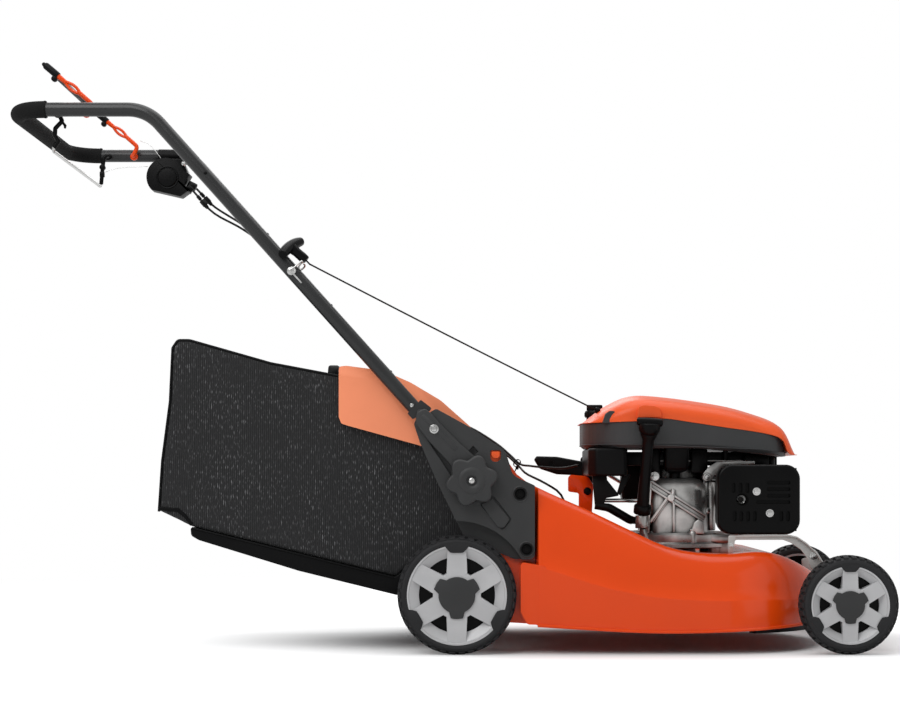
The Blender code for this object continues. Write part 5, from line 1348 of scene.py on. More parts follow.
def reshape(made, cells, move):
    """Cut a finished piece into a grid of cells, then move each of its points by a rule."""
    bm = bmesh.new()
    bm.from_mesh(made.data)
    for axis, size in enumerate(cells):
        if not size:
            continue
        places = [vert.co[axis] for vert in bm.verts]
        low, high = min(places), max(places)
        count = int((high - low) / size)
        normal = [0.0, 0.0, 0.0]
        normal[axis] = 1.0
        for k in range(1, count):
            spot = [0.0, 0.0, 0.0]
            spot[axis] = low + (high - low) * k / count
            bmesh.ops.bisect_plane(
                bm, geom=bm.verts[:] + bm.edges[:] + bm.faces[:], dist=0.00001, plane_co=spot, plane_no=normal
            )
    for vert in bm.verts:
        x, y, z = move(vert.co.x - REAR_AXLE_X, vert.co.y, vert.co.z)
        vert.co = Vector((x + REAR_AXLE_X, y, z))
    bm.to_mesh(made.data)
    bm.free()
    smoothed(made)


def cloth_map(made):
    """A UV map in metres that lies along each panel, whichever way the panel faces."""
    layer = made.data.uv_layers.new(name="cloth")
    for face in made.data.polygons:
        normal = face.normal
        for corner in face.loop_indices:
            spot = made.data.vertices[made.data.loops[corner].vertex_index].co
            if abs(normal.y) > 0.5:
                layer.data[corner].uv = (spot.x, spot.z)
            elif abs(normal.z) > abs(normal.x):
                layer.data[corner].uv = (spot.x, spot.y)
            else:
                layer.data[corner].uv = (spot.y, spot.z)


def outline_height(x, line):
    """The height of an outline at a place along it, for lines that run either way."""
    spots = sorted(line)
    return between(spots, max(min(x, spots[-1][0]), spots[0][0]))


class MOWER_OT_bag(bpy.types.Operator):
    """Build the grass bag: mesh cloth with bound seams, its base tray, mouth frame and grip"""

    bl_idname = "mower.bag"
    bl_label = "Grass bag"

    def execute(self, context):
        """The cloth first, then what is sewn or clipped to it."""
        self.cloth(context.scene.mower_sizes.bag_sag)
        self.bindings()
        self.tray()
        self.frame_and_grip()
        return {"FINISHED"}

    def cloth(self, sag):
        """A shell of cloth, open at the mouth, that sinks between its edges and ripples a little."""
        bm = plate(BAG_TOP + BAG_REAR + BAG_BOTTOM, -BAG_HALF + 0.0008, BAG_HALF - 0.0008, 0.0085, 3)
        mouth = [face for face in bm.faces if face.normal.x > 0.98 and face.calc_center_median().x > MOUTH_X - 0.001]
        bmesh.ops.delete(bm, geom=mouth, context="FACES")
        made = keep("bag_cloth", bm, "bag_cloth", "bag", "bag")
        rear = BAG_REAR[-1][0]

        def move(x, y, z):
            top = outline_height(x, BAG_TOP)
            low = outline_height(x, BAG_BOTTOM)
            along = min(max((x - rear) / (MOUTH_X - rear), 0.0), 1.0)
            up = min(max((z - low) / max(top - low, 0.01), 0.0), 1.0)
            across = min(abs(y) / BAG_HALF, 1.0)
            belly = sin(pi * along) ** 0.7 * sin(pi * up) ** 0.7
            ripple = ripples.noise(Vector((x * 9.0, y * 3.0, z * 3.5))) * 0.0035
            ripple += ripples.noise(Vector((x * 26.0, y * 8.0, z * 7.0))) * 0.0012
            if across > 0.97:
                y -= copysign(max(belly * sag + ripple * belly, 0.0), y)
            hollow = 1 - across ** 4
            if up > 0.97 and x < 0.0:
                z -= hollow * (sag * 1.3 + ripple) * sin(pi * min(max((x + 0.52) / 0.52, 0), 1)) ** 0.5
            if x < -0.5 and 0.03 < up < 0.97:
                x += hollow * (sag + ripple)
            return x, y, z

        reshape(made, (0.011, 0.013, 0.011), move)
        cloth_map(made)
        wall = made.modifiers.new("cloth_thickness", "SOLIDIFY")
        wall.thickness = 0.0018
        wall.offset = -1.0
        wall.use_even_offset = False

    def bindings(self):
        """Bound seams along the edges of both side panels, and the hem at the low rear edge."""
        route = BAG_TOP[1:] + BAG_REAR
        for side, hand in SIDES:
            y = side * (BAG_HALF - 0.0035)
            radii = [0, 0.02, 0.03, 0.03, 0.03, 0.03, 0.03, 0.008, 0.006, 0.02, 0.03, 0]
            path = fillet([(x, y, z - 0.0015) for x, z in route], radii, 4, closed=False)
            keep("bag_seam_" + hand, pipe(path, 0.0024, 10), "black_plastic", "bag", slot="fabric")
        hem = [(-0.538, 0.26), (-0.5383, 0.2527), (-0.5028, 0.2496), (-0.4904, 0.2388), (-0.4796, 0.2233),
               (-0.475, 0.229), (-0.488, 0.2455), (-0.501, 0.257)]
        keep(
            "bag_hem", plate(rounded(hem, 0.0025, 3), -BAG_HALF, BAG_HALF, 0.001, 2), "black_plastic", "bag",
            slot="fabric",
        )

    def tray(self):
        """The smooth black tray under the bag, with a raised rim."""
        outline = [
            (-0.4805, 0.2235), (-0.112, 0.1336), (-0.06, 0.1721), (-0.052, 0.166), (-0.104, 0.099), (-0.286, 0.144),
            (-0.465, 0.199), (-0.479, 0.207),
        ]
        shape = rounded(outline, [0.004, 0.0, 0.002, 0.004, 0.012, 0.02, 0.01, 0.008], 4)
        keep(
            "bag_tray", plate(shape, -BAG_HALF + 0.001, BAG_HALF - 0.001, 0.003, 3), "black_plastic", "bag",
            "bag_base",
        )
        for side, hand in SIDES:
            y = side * (BAG_HALF - 0.0012)
            rim = [(-0.477, y, 0.221), (-0.36, y, 0.1922), (-0.115, y, 0.1322)]
            keep("bag_tray_rim_" + hand, pipe(rim, 0.0022, 10), "black_plastic", "bag")

    def frame_and_grip(self):
        """The mouth's frame and the carrying grip."""
        outer = rounded(rectangle(-0.204, 0.204, 0.17, 0.36), 0.012, 5)
        ring = keep(
            "bag_mouth_frame", plate(outer, MOUTH_X + 0.0003, 0.0425, 0.0015, 2, axis="X"), "black_plastic", "bag",
            "bag_frame",
        )
        inner = rounded(rectangle(-0.188, 0.188, 0.184, 0.344), 0.01, 5)
        carve(ring, plate(inner, 0.02, 0.06, axis="X"))
        outer = rounded(rectangle(-0.0665, 0.0665, 0.4985, 0.5232), [0.004, 0.004, 0.018, 0.018], 8)
        grip = keep(
            "bag_grip", plate(outer, -0.246, -0.2262, 0.005, 4, axis="X"), "black_plastic", "bag", "bag_handle",
        )
        inner = rounded(rectangle(-0.0545, 0.0545, 0.49, 0.512), [0.0, 0.0, 0.009, 0.009], 6)
        carve(grip, plate(inner, -0.26, -0.21, axis="X"))
        soften(grip, 0.0012, 2, 50)


class MOWER_OT_flap(bpy.types.Operator):
    """Build the orange rear flap with its drawn-in cheeks, its hinge knuckle and rod"""

    bl_idname = "mower.flap"
    bl_label = "Rear flap"

    def execute(self, context):
        """Outer form, hollow, then the cheeks."""
        outline = [
            (0.022, 0.404), (-0.031, 0.451), (-0.085, 0.483), (-0.134, 0.504), (-0.2, 0.5125), (-0.213, 0.511),
            (-0.213, 0.42), (-0.2085, 0.4085), (-0.198, 0.405), (-0.064, 0.368), (0.018, 0.356), (0.0315, 0.39),
        ]
        radii = [0.02, 0.06, 0.08, 0.08, 0.008, 0.004, 0.008, 0.006, 0.008, 0.01, 0.004, 0.004]
        shape = rounded(outline, radii, 3)
        made = keep("flap", plate(shape, -FLAP_HALF, FLAP_HALF), "flap_plastic_painted_light", "rear_flap", "rear_flap")
        below = [
            (0.0205, 0.401), (-0.033, 0.4475), (-0.0865, 0.4797), (-0.1349, 0.5008), (-0.2, 0.5096), (-0.26, 0.509),
        ]
        room = below + [(-0.26, 0.3), (0.06, 0.3), (0.06, 0.3655), (0.019, 0.3655), (0.0165, 0.392)]
        carve(made, plate(room, -FLAP_HALF + 0.003, FLAP_HALF - 0.003))

        def move(x, y, z):
            reach = 0.0
            if z > between(FLAP_CREASE, x):
                spot = Vector((x, z))
                gaps = []
                for a, b in zip(FLAP_CREASE, FLAP_CREASE[1:]):
                    start, run = Vector(a), Vector(b) - Vector(a)
                    share = min(max((spot - start).dot(run) / run.length_squared, 0.0), 1.0)
                    gaps.append((spot - start - run * share).length)
                reach = min(gaps)
            pull = min(reach * 0.42, 0.02)
            return x, y * (1 - pull / FLAP_HALF), z

        reshape(made, (0.0035, 0.04, 0.0035), move)
        soften(made, 0.001, 2, 40)
        hx, hz = FLAP_HINGE
        knuckle = turned(
            [
                (0.0043, -0.2135), (0.0068, -0.2135), (0.0075, -0.2128), (0.0075, 0.2128), (0.0068, 0.2135),
                (0.0043, 0.2135),
            ],
            (hx, 0, hz), (0, 1, 0), 32,
        )
        keep("flap_knuckle", knuckle, "flap_plastic_painted_light", "rear_flap")
        end = NECK_HALF_WIDTH + 0.0007
        keep("flap_pin", cross_rod(hx, hz, -end, end, 0.004, 24, 0.0006), "bright_steel", "chassis", "flap_rod")
        return {"FINISHED"}


# ---------------------------------------------------------------- engine

CRANK_X = 0.405
PARTING = [
    (0.2275, 0.412), (0.34, 0.415), (0.372, 0.4195), (0.429, 0.412), (0.485, 0.4035), (0.5485, 0.3942),
    (0.585, 0.3855), (0.5974, 0.376), (0.603, 0.362), (0.607, 0.3545), (0.63, 0.353),
]
COVER_RISE = [
    (0.2275, 0.4125), (0.2347, 0.416), (0.2691, 0.4424), (0.3, 0.459), (0.322, 0.4655), (0.34, 0.467),
    (0.3811, 0.464), (0.44, 0.4565), (0.506, 0.445), (0.554, 0.431), (0.582, 0.4205), (0.597, 0.41),
    (0.607, 0.396), (0.6185, 0.372), (0.625, 0.356), (0.63, 0.354),
]
UNDERSIDE = [(0.2285, 0.366), (0.45, 0.366), (0.5325, 0.359), (0.606, 0.35)]
FILLER_FOOT = (0.338, -0.128, 0.246)
FILLER_TOP = (0.3465, -0.172, 0.392)
TANK_NECK = (0.262, 0.075)
GUARD_FACE = -0.2
MUFFLER_OUTLET = (0.512, 0.272)
FRONT_EYE = (0.752, 0.0905)


class MOWER_OT_cover(bpy.types.Operator):
    """Build the orange top cover and the grey housing band below it"""

    bl_idname = "mower.cover"
    bl_label = "Engine cover"

    def execute(self, context):
        """Cover with the hood over the dipstick, band and rope outlet."""
        self.cover()
        self.band()
        self.outlet()
        return {"FINISHED"}

    def cover(self):
        """A crowned cover with a rolled shoulder, hollow below."""
        half, rear, front = 0.151, 0.2275, 0.63
        plan = rounded(rectangle(rear, front, -half, half), [0.1, 0.07, 0.07, 0.1], 14)
        made = keep("engine_cover", plate(plan, 0.0, 1.0, axis="Z"), "orange_plastic", "chassis", "top_cover")
        roll, start = 0.026, 0.5
        middle = (rear + front) / 2

        def move(x, y, t):
            phase = max(t - start, 0.0) / (1 - start) * pi / 2
            draw = roll * (1 - cos(phase))
            x2 = middle + (x - middle) * (1 - draw * 0.45 / (front - middle))
            y2 = y * (1 - draw / half)
            low = curved(PARTING, x)
            crown = curved(COVER_RISE, x2) - 0.016 * min(abs(y2) / half, 1.0) ** 2.2
            crown = max(crown, low + 0.0016)
            shoulder = max(crown - roll * 0.7, low + 0.0008)
            if t <= start:
                z = low + 0.0003 + (shoulder - low) * t / start
            else:
                z = shoulder + (crown - shoulder) * sin(phase)
            if t > 0.999:
                z = crown
            return x2, y2, z

        reshape(made, (0.0085, 0.01, 0.09), move)
        hollow = plate(
            [(0.252, 0.3), (0.252, 0.398), (0.285, 0.415), (0.33, 0.423), (0.5, 0.411), (0.586, 0.388),
             (0.608, 0.356), (0.608, 0.3)],
            -0.112, 0.112,
        )
        carve(made, hollow)
        hood = rounded(
            [(0.3262, 0.4215), (0.329, 0.44), (0.337, 0.444), (0.359, 0.4425), (0.368, 0.4385), (0.3712, 0.4215)],
            [0.001, 0.005, 0.01, 0.01, 0.005, 0.001], 5,
        )
        keep("dipstick_hood", plate(hood, -0.1575, -0.12, 0.004, 4), "orange_plastic", "chassis")
        carve(made, post(*TANK_NECK, 0.4, 0.48, 0.0245, 40))
        outlet = Vector(ROPE_OUTLET)
        along = (Vector(ROPE_REST) - outlet).normalized()
        carve(made, rod(outlet - along * 0.03, outlet + along * 0.03, 0.003, 20))

    def band(self):
        """The grey band: a shallow tub with a rolled lower edge and a ridge along its top."""
        half, rear, front = 0.15, 0.2315, 0.606
        plan = rounded(rectangle(rear, front, -half, half), [0.1, 0.055, 0.055, 0.1], 14)
        made = keep("engine_band", plate(plan, 0.0, 1.0, axis="Z"), "housing_plastic", "chassis", "blower_housing")
        middle = (rear + front) / 2

        def move(x, y, t):
            low = between(UNDERSIDE, x)
            top = curved(PARTING, x) - 0.0003
            roll = 0.006 * (1 - sin(min(t / 0.18, 1.0) * pi / 2))
            out = 1 - roll / half
            return middle + (x - middle) * out, y * out, low + (top - low) * t

        reshape(made, (0.01, 0.012, 0.06), move)
        inner = rounded(
            rectangle(rear + 0.003, front - 0.003, -half + 0.003, half - 0.003), [0.097, 0.052, 0.052, 0.097], 8,
        )
        carve(made, plate(inner, 0.369, 0.47, axis="Z"))
        carve(made, post(CRANK_X, 0, 0.3, 0.4, 0.014, 32), post(*TANK_NECK, 0.3, 0.4, 0.0166, 32))
        lip = []
        for x, y in plan:
            lip.append((x * 0.999 + middle * 0.001, y * 0.9985, between(UNDERSIDE, x) + 0.0065))
        lip.append(lip[0])
        keep("band_bead", pipe(lip, 0.0011, 8), "housing_plastic", "chassis")

    def outlet(self):
        """The grey dome that the rope comes out of."""
        ex, ey, ez = ROPE_OUTLET
        dome = plate(
            rounded([(0.264, 0.4115), (0.27, 0.429), (0.278, 0.4345), (0.289, 0.433), (0.296, 0.4115)],
                    [0.001, 0.006, 0.008, 0.008, 0.001], 5),
            -0.1375, -0.08, 0.0045, 3,
        )
        collar = turned(
            [(0.0022, -0.004), (0.0052, -0.004), (0.0058, 0.0), (0.005, 0.0035), (0.0034, 0.0042), (0.0022, 0.003)],
            (ex + 0.001, ey, ez - 0.0004), Vector(ROPE_REST) - Vector(ROPE_OUTLET), 32,
        )
        keep("rope_dome", dome, "housing_plastic", "chassis")
        keep("rope_collar", collar, "black_plastic", "chassis")


class MOWER_OT_crankcase(bpy.types.Operator):
    """Build the cast crankcase with its sump flange, ribs, bosses and bolts, and the finned head"""

    bl_idname = "mower.crankcase"
    bl_label = "Crankcase"

    def execute(self, context):
        """Castings first, then the bolts."""
        self.case()
        self.details()
        self.head()
        return {"FINISHED"}

    def case(self):
        """The sump with its mounting feet, the round barrel, the square body and the filler's foot."""
        profile = [
            (0.0132, 0.1655), (0.045, 0.1655), (0.045, 0.18), (0.112, 0.18), (0.1165, 0.182), (0.1165, 0.1885),
            (0.113, 0.1905), (0.111, 0.192), (0.112, 0.198), (0.112, 0.205), (0.109, 0.2085), (0.098, 0.2092),
            (0.064, 0.211), (0.06, 0.214), (0.06, 0.327), (0.056, 0.332), (0.04, 0.335), (0.04, 0.3654),
            (0.0132, 0.3654),
        ]
        shell = turned(profile, (CRANK_X, 0, 0), (0, 0, 1), 72)
        body = rounded(rectangle(0.347, 0.468, -0.096, 0.096), 0.03, 8)
        sections = []
        for z, draw in ((0.208, 0.0), (0.286, 0.003), (0.3, 0.006), (0.307, 0.012), (0.311, 0.022)):
            ring = []
            for x, y in body:
                ring.append(Vector((CRANK_X + (x - CRANK_X) * (1 - draw / 0.06), y * (1 - draw / 0.096), z)))
            sections.append(ring)
        fuse(shell, skin(sections))
        for k in range(4):
            angle = radians(45 + 90 * k)
            x, y = CRANK_X + 0.102 * cos(angle), 0.102 * sin(angle)
            fuse(shell, post(x, y, 0.1683, 0.196, 0.0112, 28, 0.001))
        fx, fy, fz = FILLER_FOOT
        fuse(
            shell, rod((fx + 0.014, -0.07, fz - 0.016), (fx - 0.001, fy + 0.001, fz - 0.0165), 0.011, 24, 0.001),
            post(fx, fy, fz - 0.0275, fz - 0.004, 0.0128, 32, 0.0012),
            rod((fx + 0.001, fy - 0.002, fz - 0.0275), (fx + 0.006, fy + 0.01, fz - 0.06), 0.006, 20, 0.001, 0.01),
        )
        keep("crankcase_casting", shell, "cast_aluminium", "chassis", "crankcase")

    def details(self):
        """Ribs, bosses, lugs and nuts on both sides, and the housing's carrier bracket on the right."""
        shell = bmesh.new()
        for side in (-1, 1):
            face = 0.095

            def bar(start, end, width, proud, sink=0.006):
                a, b = Vector(start), Vector(end)
                run = (b - a).normalized()
                edge = Vector((-run.y, run.x)) * width / 2
                shape = [a - edge, b - edge, b + edge, a + edge]
                bounds = flank(side, face - sink, face + proud)
                return plate([tuple(p) for p in shape], *bounds, 0.0008, 2)

            fuse(
                shell, bar((0.357, 0.3045), (0.4585, 0.241), 0.0042, 0.0062),
                bar((0.354, 0.2935), (0.454, 0.231), 0.0042, 0.0062),
                bar((0.356, 0.2985), (0.457, 0.2355), 0.007, 0.003),
                bar((0.388, 0.2745), (0.355, 0.229), 0.0048, 0.0058),
                bar((0.3955, 0.279), (0.36, 0.229), 0.0022, 0.004),
                bar((0.399, 0.266), (0.399, 0.209), 0.0046, 0.0062),
                bar((0.356, 0.306), (0.351, 0.208), 0.005, 0.005),
                cross_rod(0.3935, 0.274, side * (face - 0.002), side * (face + 0.0105), 0.0066, 24, 0.001),
                rod((0.394, side * (face + 0.004), 0.27), (0.399, side * (face + 0.004), 0.29), 0.0048, 20, 0.0014),
                cross_rod(0.364, 0.314, side * (face - 0.004), side * (face + 0.005), 0.0085, 28, 0.001),
            )
            wedge = plate(
                rounded([(0.429, 0.207), (0.437, 0.229), (0.444, 0.2345), (0.453, 0.229), (0.455, 0.207)], 0.0025, 3),
                *flank(side, face - 0.01, face + 0.012), 0.0016, 2,
            )
            fuse(shell, wedge)
            for dx in (0.459, 0.472):
                fuse(shell, post(dx, side * 0.068, 0.213, 0.303, 0.008, 28, 0.002))
            fuse(
                shell, post(0.434, side * 0.101, 0.183, 0.211, 0.008, 24, 0.0014),
                post(0.36, side * 0.083, 0.183, 0.211, 0.0085, 24, 0.0014),
                block(0.456, 0.508, side * 0.071 - 0.02, side * 0.071 + 0.02, 0.1905, 0.206, 0.004, 3),
                block(0.48, 0.503, side * 0.066 - 0.012, side * 0.066 + 0.012, 0.1683, 0.193, 0.003, 2),
            )
        keep("crankcase_ribs", shell, "cast_aluminium", "chassis")
        arm = rounded(
            [(0.4535, 0.318), (0.464, 0.331), (0.4801, 0.3416), (0.55, 0.343), (0.55, 0.337), (0.4943, 0.3345),
             (0.476, 0.318), (0.468, 0.306), (0.456, 0.306)],
            [0.006, 0.006, 0.006, 0.001, 0.001, 0.01, 0.006, 0.006, 0.006], 5,
        )
        lug = plate(arm, -0.093, -0.086, 0.0016, 2)
        ring = turned(
            [(0.0036, 0.0), (0.0036, 0.0085), (0.005, 0.0095), (0.0068, 0.009), (0.0078, 0.007), (0.0078, 0.0)],
            (0.4602, -0.092, 0.3125), (0, -1, 0), 36,
        )
        fuse(lug, ring, cross_rod(0.4602, 0.3125, -0.094, -0.03, 0.006, 24, 0.0005))
        rail = block(0.345, 0.54, -0.064, -0.056, 0.3418, 0.3446, 0.0006)
        fuse(lug, rail, post(0.372, -0.06, 0.3, 0.3655, 0.005, 20))
        keep("housing_carrier", lug, "cast_aluminium", "chassis")
        bolts = bmesh.new()
        for spot, axis, size in (
            ((0.364, -0.1, 0.314), (0, -1, 0), 0.0062), ((0.4602, -0.0995, 0.3125), (0, -1, 0), 0.0034),
            ((0.464, -0.075, 0.25), (0, -1, 0), 0.0046), ((0.434, -0.101, 0.2108), (0, 0, 1), 0.0056),
            ((0.36, -0.083, 0.2108), (0, 0, 1), 0.0056), ((0.434, 0.101, 0.2108), (0, 0, 1), 0.0056),
            ((0.36, 0.083, 0.2108), (0, 0, 1), 0.0056),
        ):
            spot, axis = Vector(spot), Vector(axis)
            fuse(
                bolts, rod(spot - axis * 0.001, spot + axis * 0.0012, size * 1.25, 28, 0.0003),
                rod(spot + axis * 0.0008, spot + axis * 0.0052, size, 6, 0.0006),
            )
        keep("crankcase_bolts", bolts, "bright_steel", "chassis")

    def head(self):
        """The cylinder head with its fins and the plug's cap."""
        shell = block(0.4683, 0.53, -0.05, 0.05, 0.226, 0.33, 0.004, 2)
        for k in range(9):
            z = 0.233 + 0.0104 * k
            fuse(shell, block(0.474, 0.5445, -0.0618, 0.0618, z, z + 0.0028, 0.001, 2))
        keep("finned_head", shell, "cast_aluminium", "chassis", "cylinder_head")
        cap = [
            (0.0, 0.0), (0.0088, 0.0), (0.0088, 0.012), (0.006, 0.0135), (0.006, 0.022), (0.0098, 0.0235),
            (0.0108, 0.027), (0.0108, 0.048), (0.009, 0.0545), (0.004, 0.058), (0.0, 0.058),
        ]
        boot = turned(cap, (0.5303, 0.025, 0.284), (1, 0, 0), 36)
        lead = smooth_line(
            [
                (0.58, 0.025, 0.291), (0.584, 0.026, 0.31), (0.57, 0.03, 0.335), (0.55, 0.034, 0.352),
                (0.54, 0.036, 0.368),
            ],
            0.005,
        )
        fuse(boot, pipe(lead, 0.0035, 16))
        keep("plug_cap", boot, "black_plastic", "chassis", "spark_plug")


class MOWER_OT_fittings(bpy.types.Operator):
    """Build the tank, its cap, the oil filler with its dipstick, the air box, the intake and what shows behind it"""

    bl_idname = "mower.fittings"
    bl_label = "Tank, filler and intake"

    def execute(self, context):
        """Each fitting sits on the crankcase or under the band."""
        self.tank()
        self.filler()
        self.air_box()
        return {"FINISHED"}

    def tank(self):
        """The black tank behind the crankcase, its legs, and the fuel cap."""
        top = 0.3657
        outline = [(0.239, -0.12), (0.252, -0.14), (0.311, -0.14), (0.311, 0.112), (0.244, 0.112), (0.239, 0.098)]
        shape = rounded(outline, [0.01, 0.01, 0.012, 0.01, 0.012, 0.006], 5)
        shell = plate(shape, 0.3145, top, 0.005, 4, axis="Z")
        fuse(shell, post(*TANK_NECK, top - 0.004, 0.428, 0.016, 40, 0.0008))
        keep("fuel_tank_shell", shell, "black_plastic", "chassis", "fuel_tank")
        legs = plate(
            rounded(
                [
                    (0.2464, 0.318), (0.2735, 0.318), (0.2745, 0.307), (0.294, 0.2825), (0.2965, 0.278),
                    (0.272, 0.2735), (0.267, 0.2574), (0.252, 0.2574),
                ],
                0.002, 3,
            ),
            -0.118, -0.108, 0.0016, 2,
        )
        strut = plate(
            rounded([(0.303, 0.318), (0.3184, 0.318), (0.299, 0.2785), (0.2925, 0.2825)], 0.002, 3), -0.118, -0.108,
            0.0016, 2,
        )
        fuse(
            legs, strut,
            pipe(fillet([(0.252, -0.113, 0.26), (0.278, -0.113, 0.256), (0.318, -0.1, 0.233), (0.356, -0.088, 0.23)],
                        [0, 0.02, 0.02, 0], 6, closed=False), [0.007, 0.0075] + [0.008] * 12 + [0.007, 0.007], 18),
        )
        keep("tank_bracket", legs, "black_plastic", "chassis")
        pipe_run = rod((0.268, -0.106, 0.2692), (0.353, -0.088, 0.269), 0.0038, 24, 0.0006)
        keep("breather_tube", pipe_run, "bright_steel", "chassis")
        x, y = TANK_NECK
        cap = [
            (0.0, 0.4284), (0.018, 0.4284), (0.019, 0.4296), (0.0192, 0.431), (0.0192, 0.438), (0.0184, 0.4408),
            (0.016, 0.4418), (0.0, 0.442),
        ]
        shell = turned(cap, (x, y, 0), (0, 0, 1), 60)
        for n in range(24):
            spin = Matrix.Translation((x, y, 0)) @ Matrix.Rotation(2 * pi * n / 24, 4, "Z")
            rib = block(0.0184, 0.0199, -0.001, 0.001, 0.4305, 0.438, 0.0004, 1)
            bmesh.ops.transform(rib, matrix=spin, verts=rib.verts)
            fuse(shell, rib)
        fuse(shell, block(x - 0.0155, x + 0.0155, y - 0.0045, y + 0.0045, 0.44, 0.4535, 0.003, 3))
        keep("fuel_filler_cap", shell, "black_plastic", "fuel_cap", "fuel_cap")

    def filler(self):
        """The oil filler tube with its collar, and the cupped dipstick cap."""
        foot, head = Vector(FILLER_FOOT), Vector(FILLER_TOP)
        along = (head - foot).normalized()
        reach = (head - foot).length
        profile = [
            (0.0098, 0.0), (0.0155, 0.0), (0.0162, 0.0012), (0.0162, 0.013), (0.015, 0.0155), (0.0116, 0.0168),
            (0.0102, reach * 0.45), (0.01, reach - 0.026), (0.0112, reach - 0.012), (0.015, reach - 0.004),
            (0.0154, reach - 0.0006), (0.0098, reach - 0.0006),
        ]
        keep("filler_tube", turned(profile, foot, along, 48), "black_plastic", "chassis", "oil_filler_tube")
        cup = [
            (0.0, 0.0003), (0.0158, 0.0003), (0.0172, 0.002), (0.019, 0.006), (0.0198, 0.012), (0.0196, 0.0185),
            (0.018, 0.0212), (0.0, 0.0216),
        ]
        shell = turned(cup, head, along, 48)
        wing = along.cross(Vector((0, 1, 0))).normalized()
        crown = head + along * 0.021
        bar = pipe(
            [
                crown - wing * 0.0236, crown - wing * 0.0214, crown - wing * 0.01, crown + wing * 0.01,
                crown + wing * 0.0214, crown + wing * 0.0236,
            ],
            [0.005, 0.0072, 0.008, 0.008, 0.0072, 0.005], 24,
        )
        stick = rod(head - along * 0.11, head + along * 0.002, 0.0024, 16, 0.0004)
        keep("dipstick_cap", fuse(shell, bar, stick), "black_plastic", "oil_dipstick", "oil_dipstick")

    def air_box(self):
        """The air filter's box on the left, its snorkel, and the black intake horn under the band."""
        shape = rounded(rectangle(0.318, 0.42, 0.262, 0.352), 0.014, 6)
        shell = plate(shape, 0.112, 0.168, 0.005, 3)
        fuse(shell, cross_rod(0.375, 0.29, 0.0965, 0.116, 0.017, 32, 0.001))
        lid = plate(rounded(rectangle(0.326, 0.412, 0.27, 0.344), 0.01, 5), 0.16, 0.1695, 0.002, 2)
        fuse(shell, lid)
        for k in range(5):
            z = 0.284 + 0.0115 * k
            fuse(shell, block(0.336, 0.402, 0.168, 0.171, z, z + 0.0035, 0.0008, 1))
        keep("air_filter_case", shell, "black_plastic", "chassis", "air_filter_box")
        sections = []
        for z, x0, x1, y in (
            (0.3655, 0.383, 0.429, -0.096), (0.33, 0.3835, 0.427, -0.094), (0.3245, 0.386, 0.425, -0.09),
            (0.32, 0.393, 0.414, -0.078),
        ):
            shape = rounded(rectangle(x0, x1, y, -0.05), 0.005, 3)
            sections.append([Vector((a, b, z)) for a, b in shape])
        horn = skin(sections)
        fuse(horn, post(0.404, -0.064, 0.306, 0.323, 0.01, 24, 0.001))
        keep("intake_horn", horn, "black_plastic", "chassis")
        clutter = fuse(
            block(0.535, 0.58, -0.075, -0.03, 0.333, 0.354, 0.003), post(0.586, -0.06, 0.33, 0.35, 0.006, 20, 0.001),
            block(0.356, 0.376, -0.072, -0.04, 0.32, 0.3655, 0.003),
            block(0.31, 0.598, -0.052, -0.046, 0.334, 0.36, 0.002), post(0.5, -0.06, 0.344, 0.3655, 0.005, 20),
            block(0.434, 0.466, -0.07, -0.03, 0.32, 0.3655, 0.004),
        )
        keep("under_band_parts", clutter, "black_enamel", "chassis")


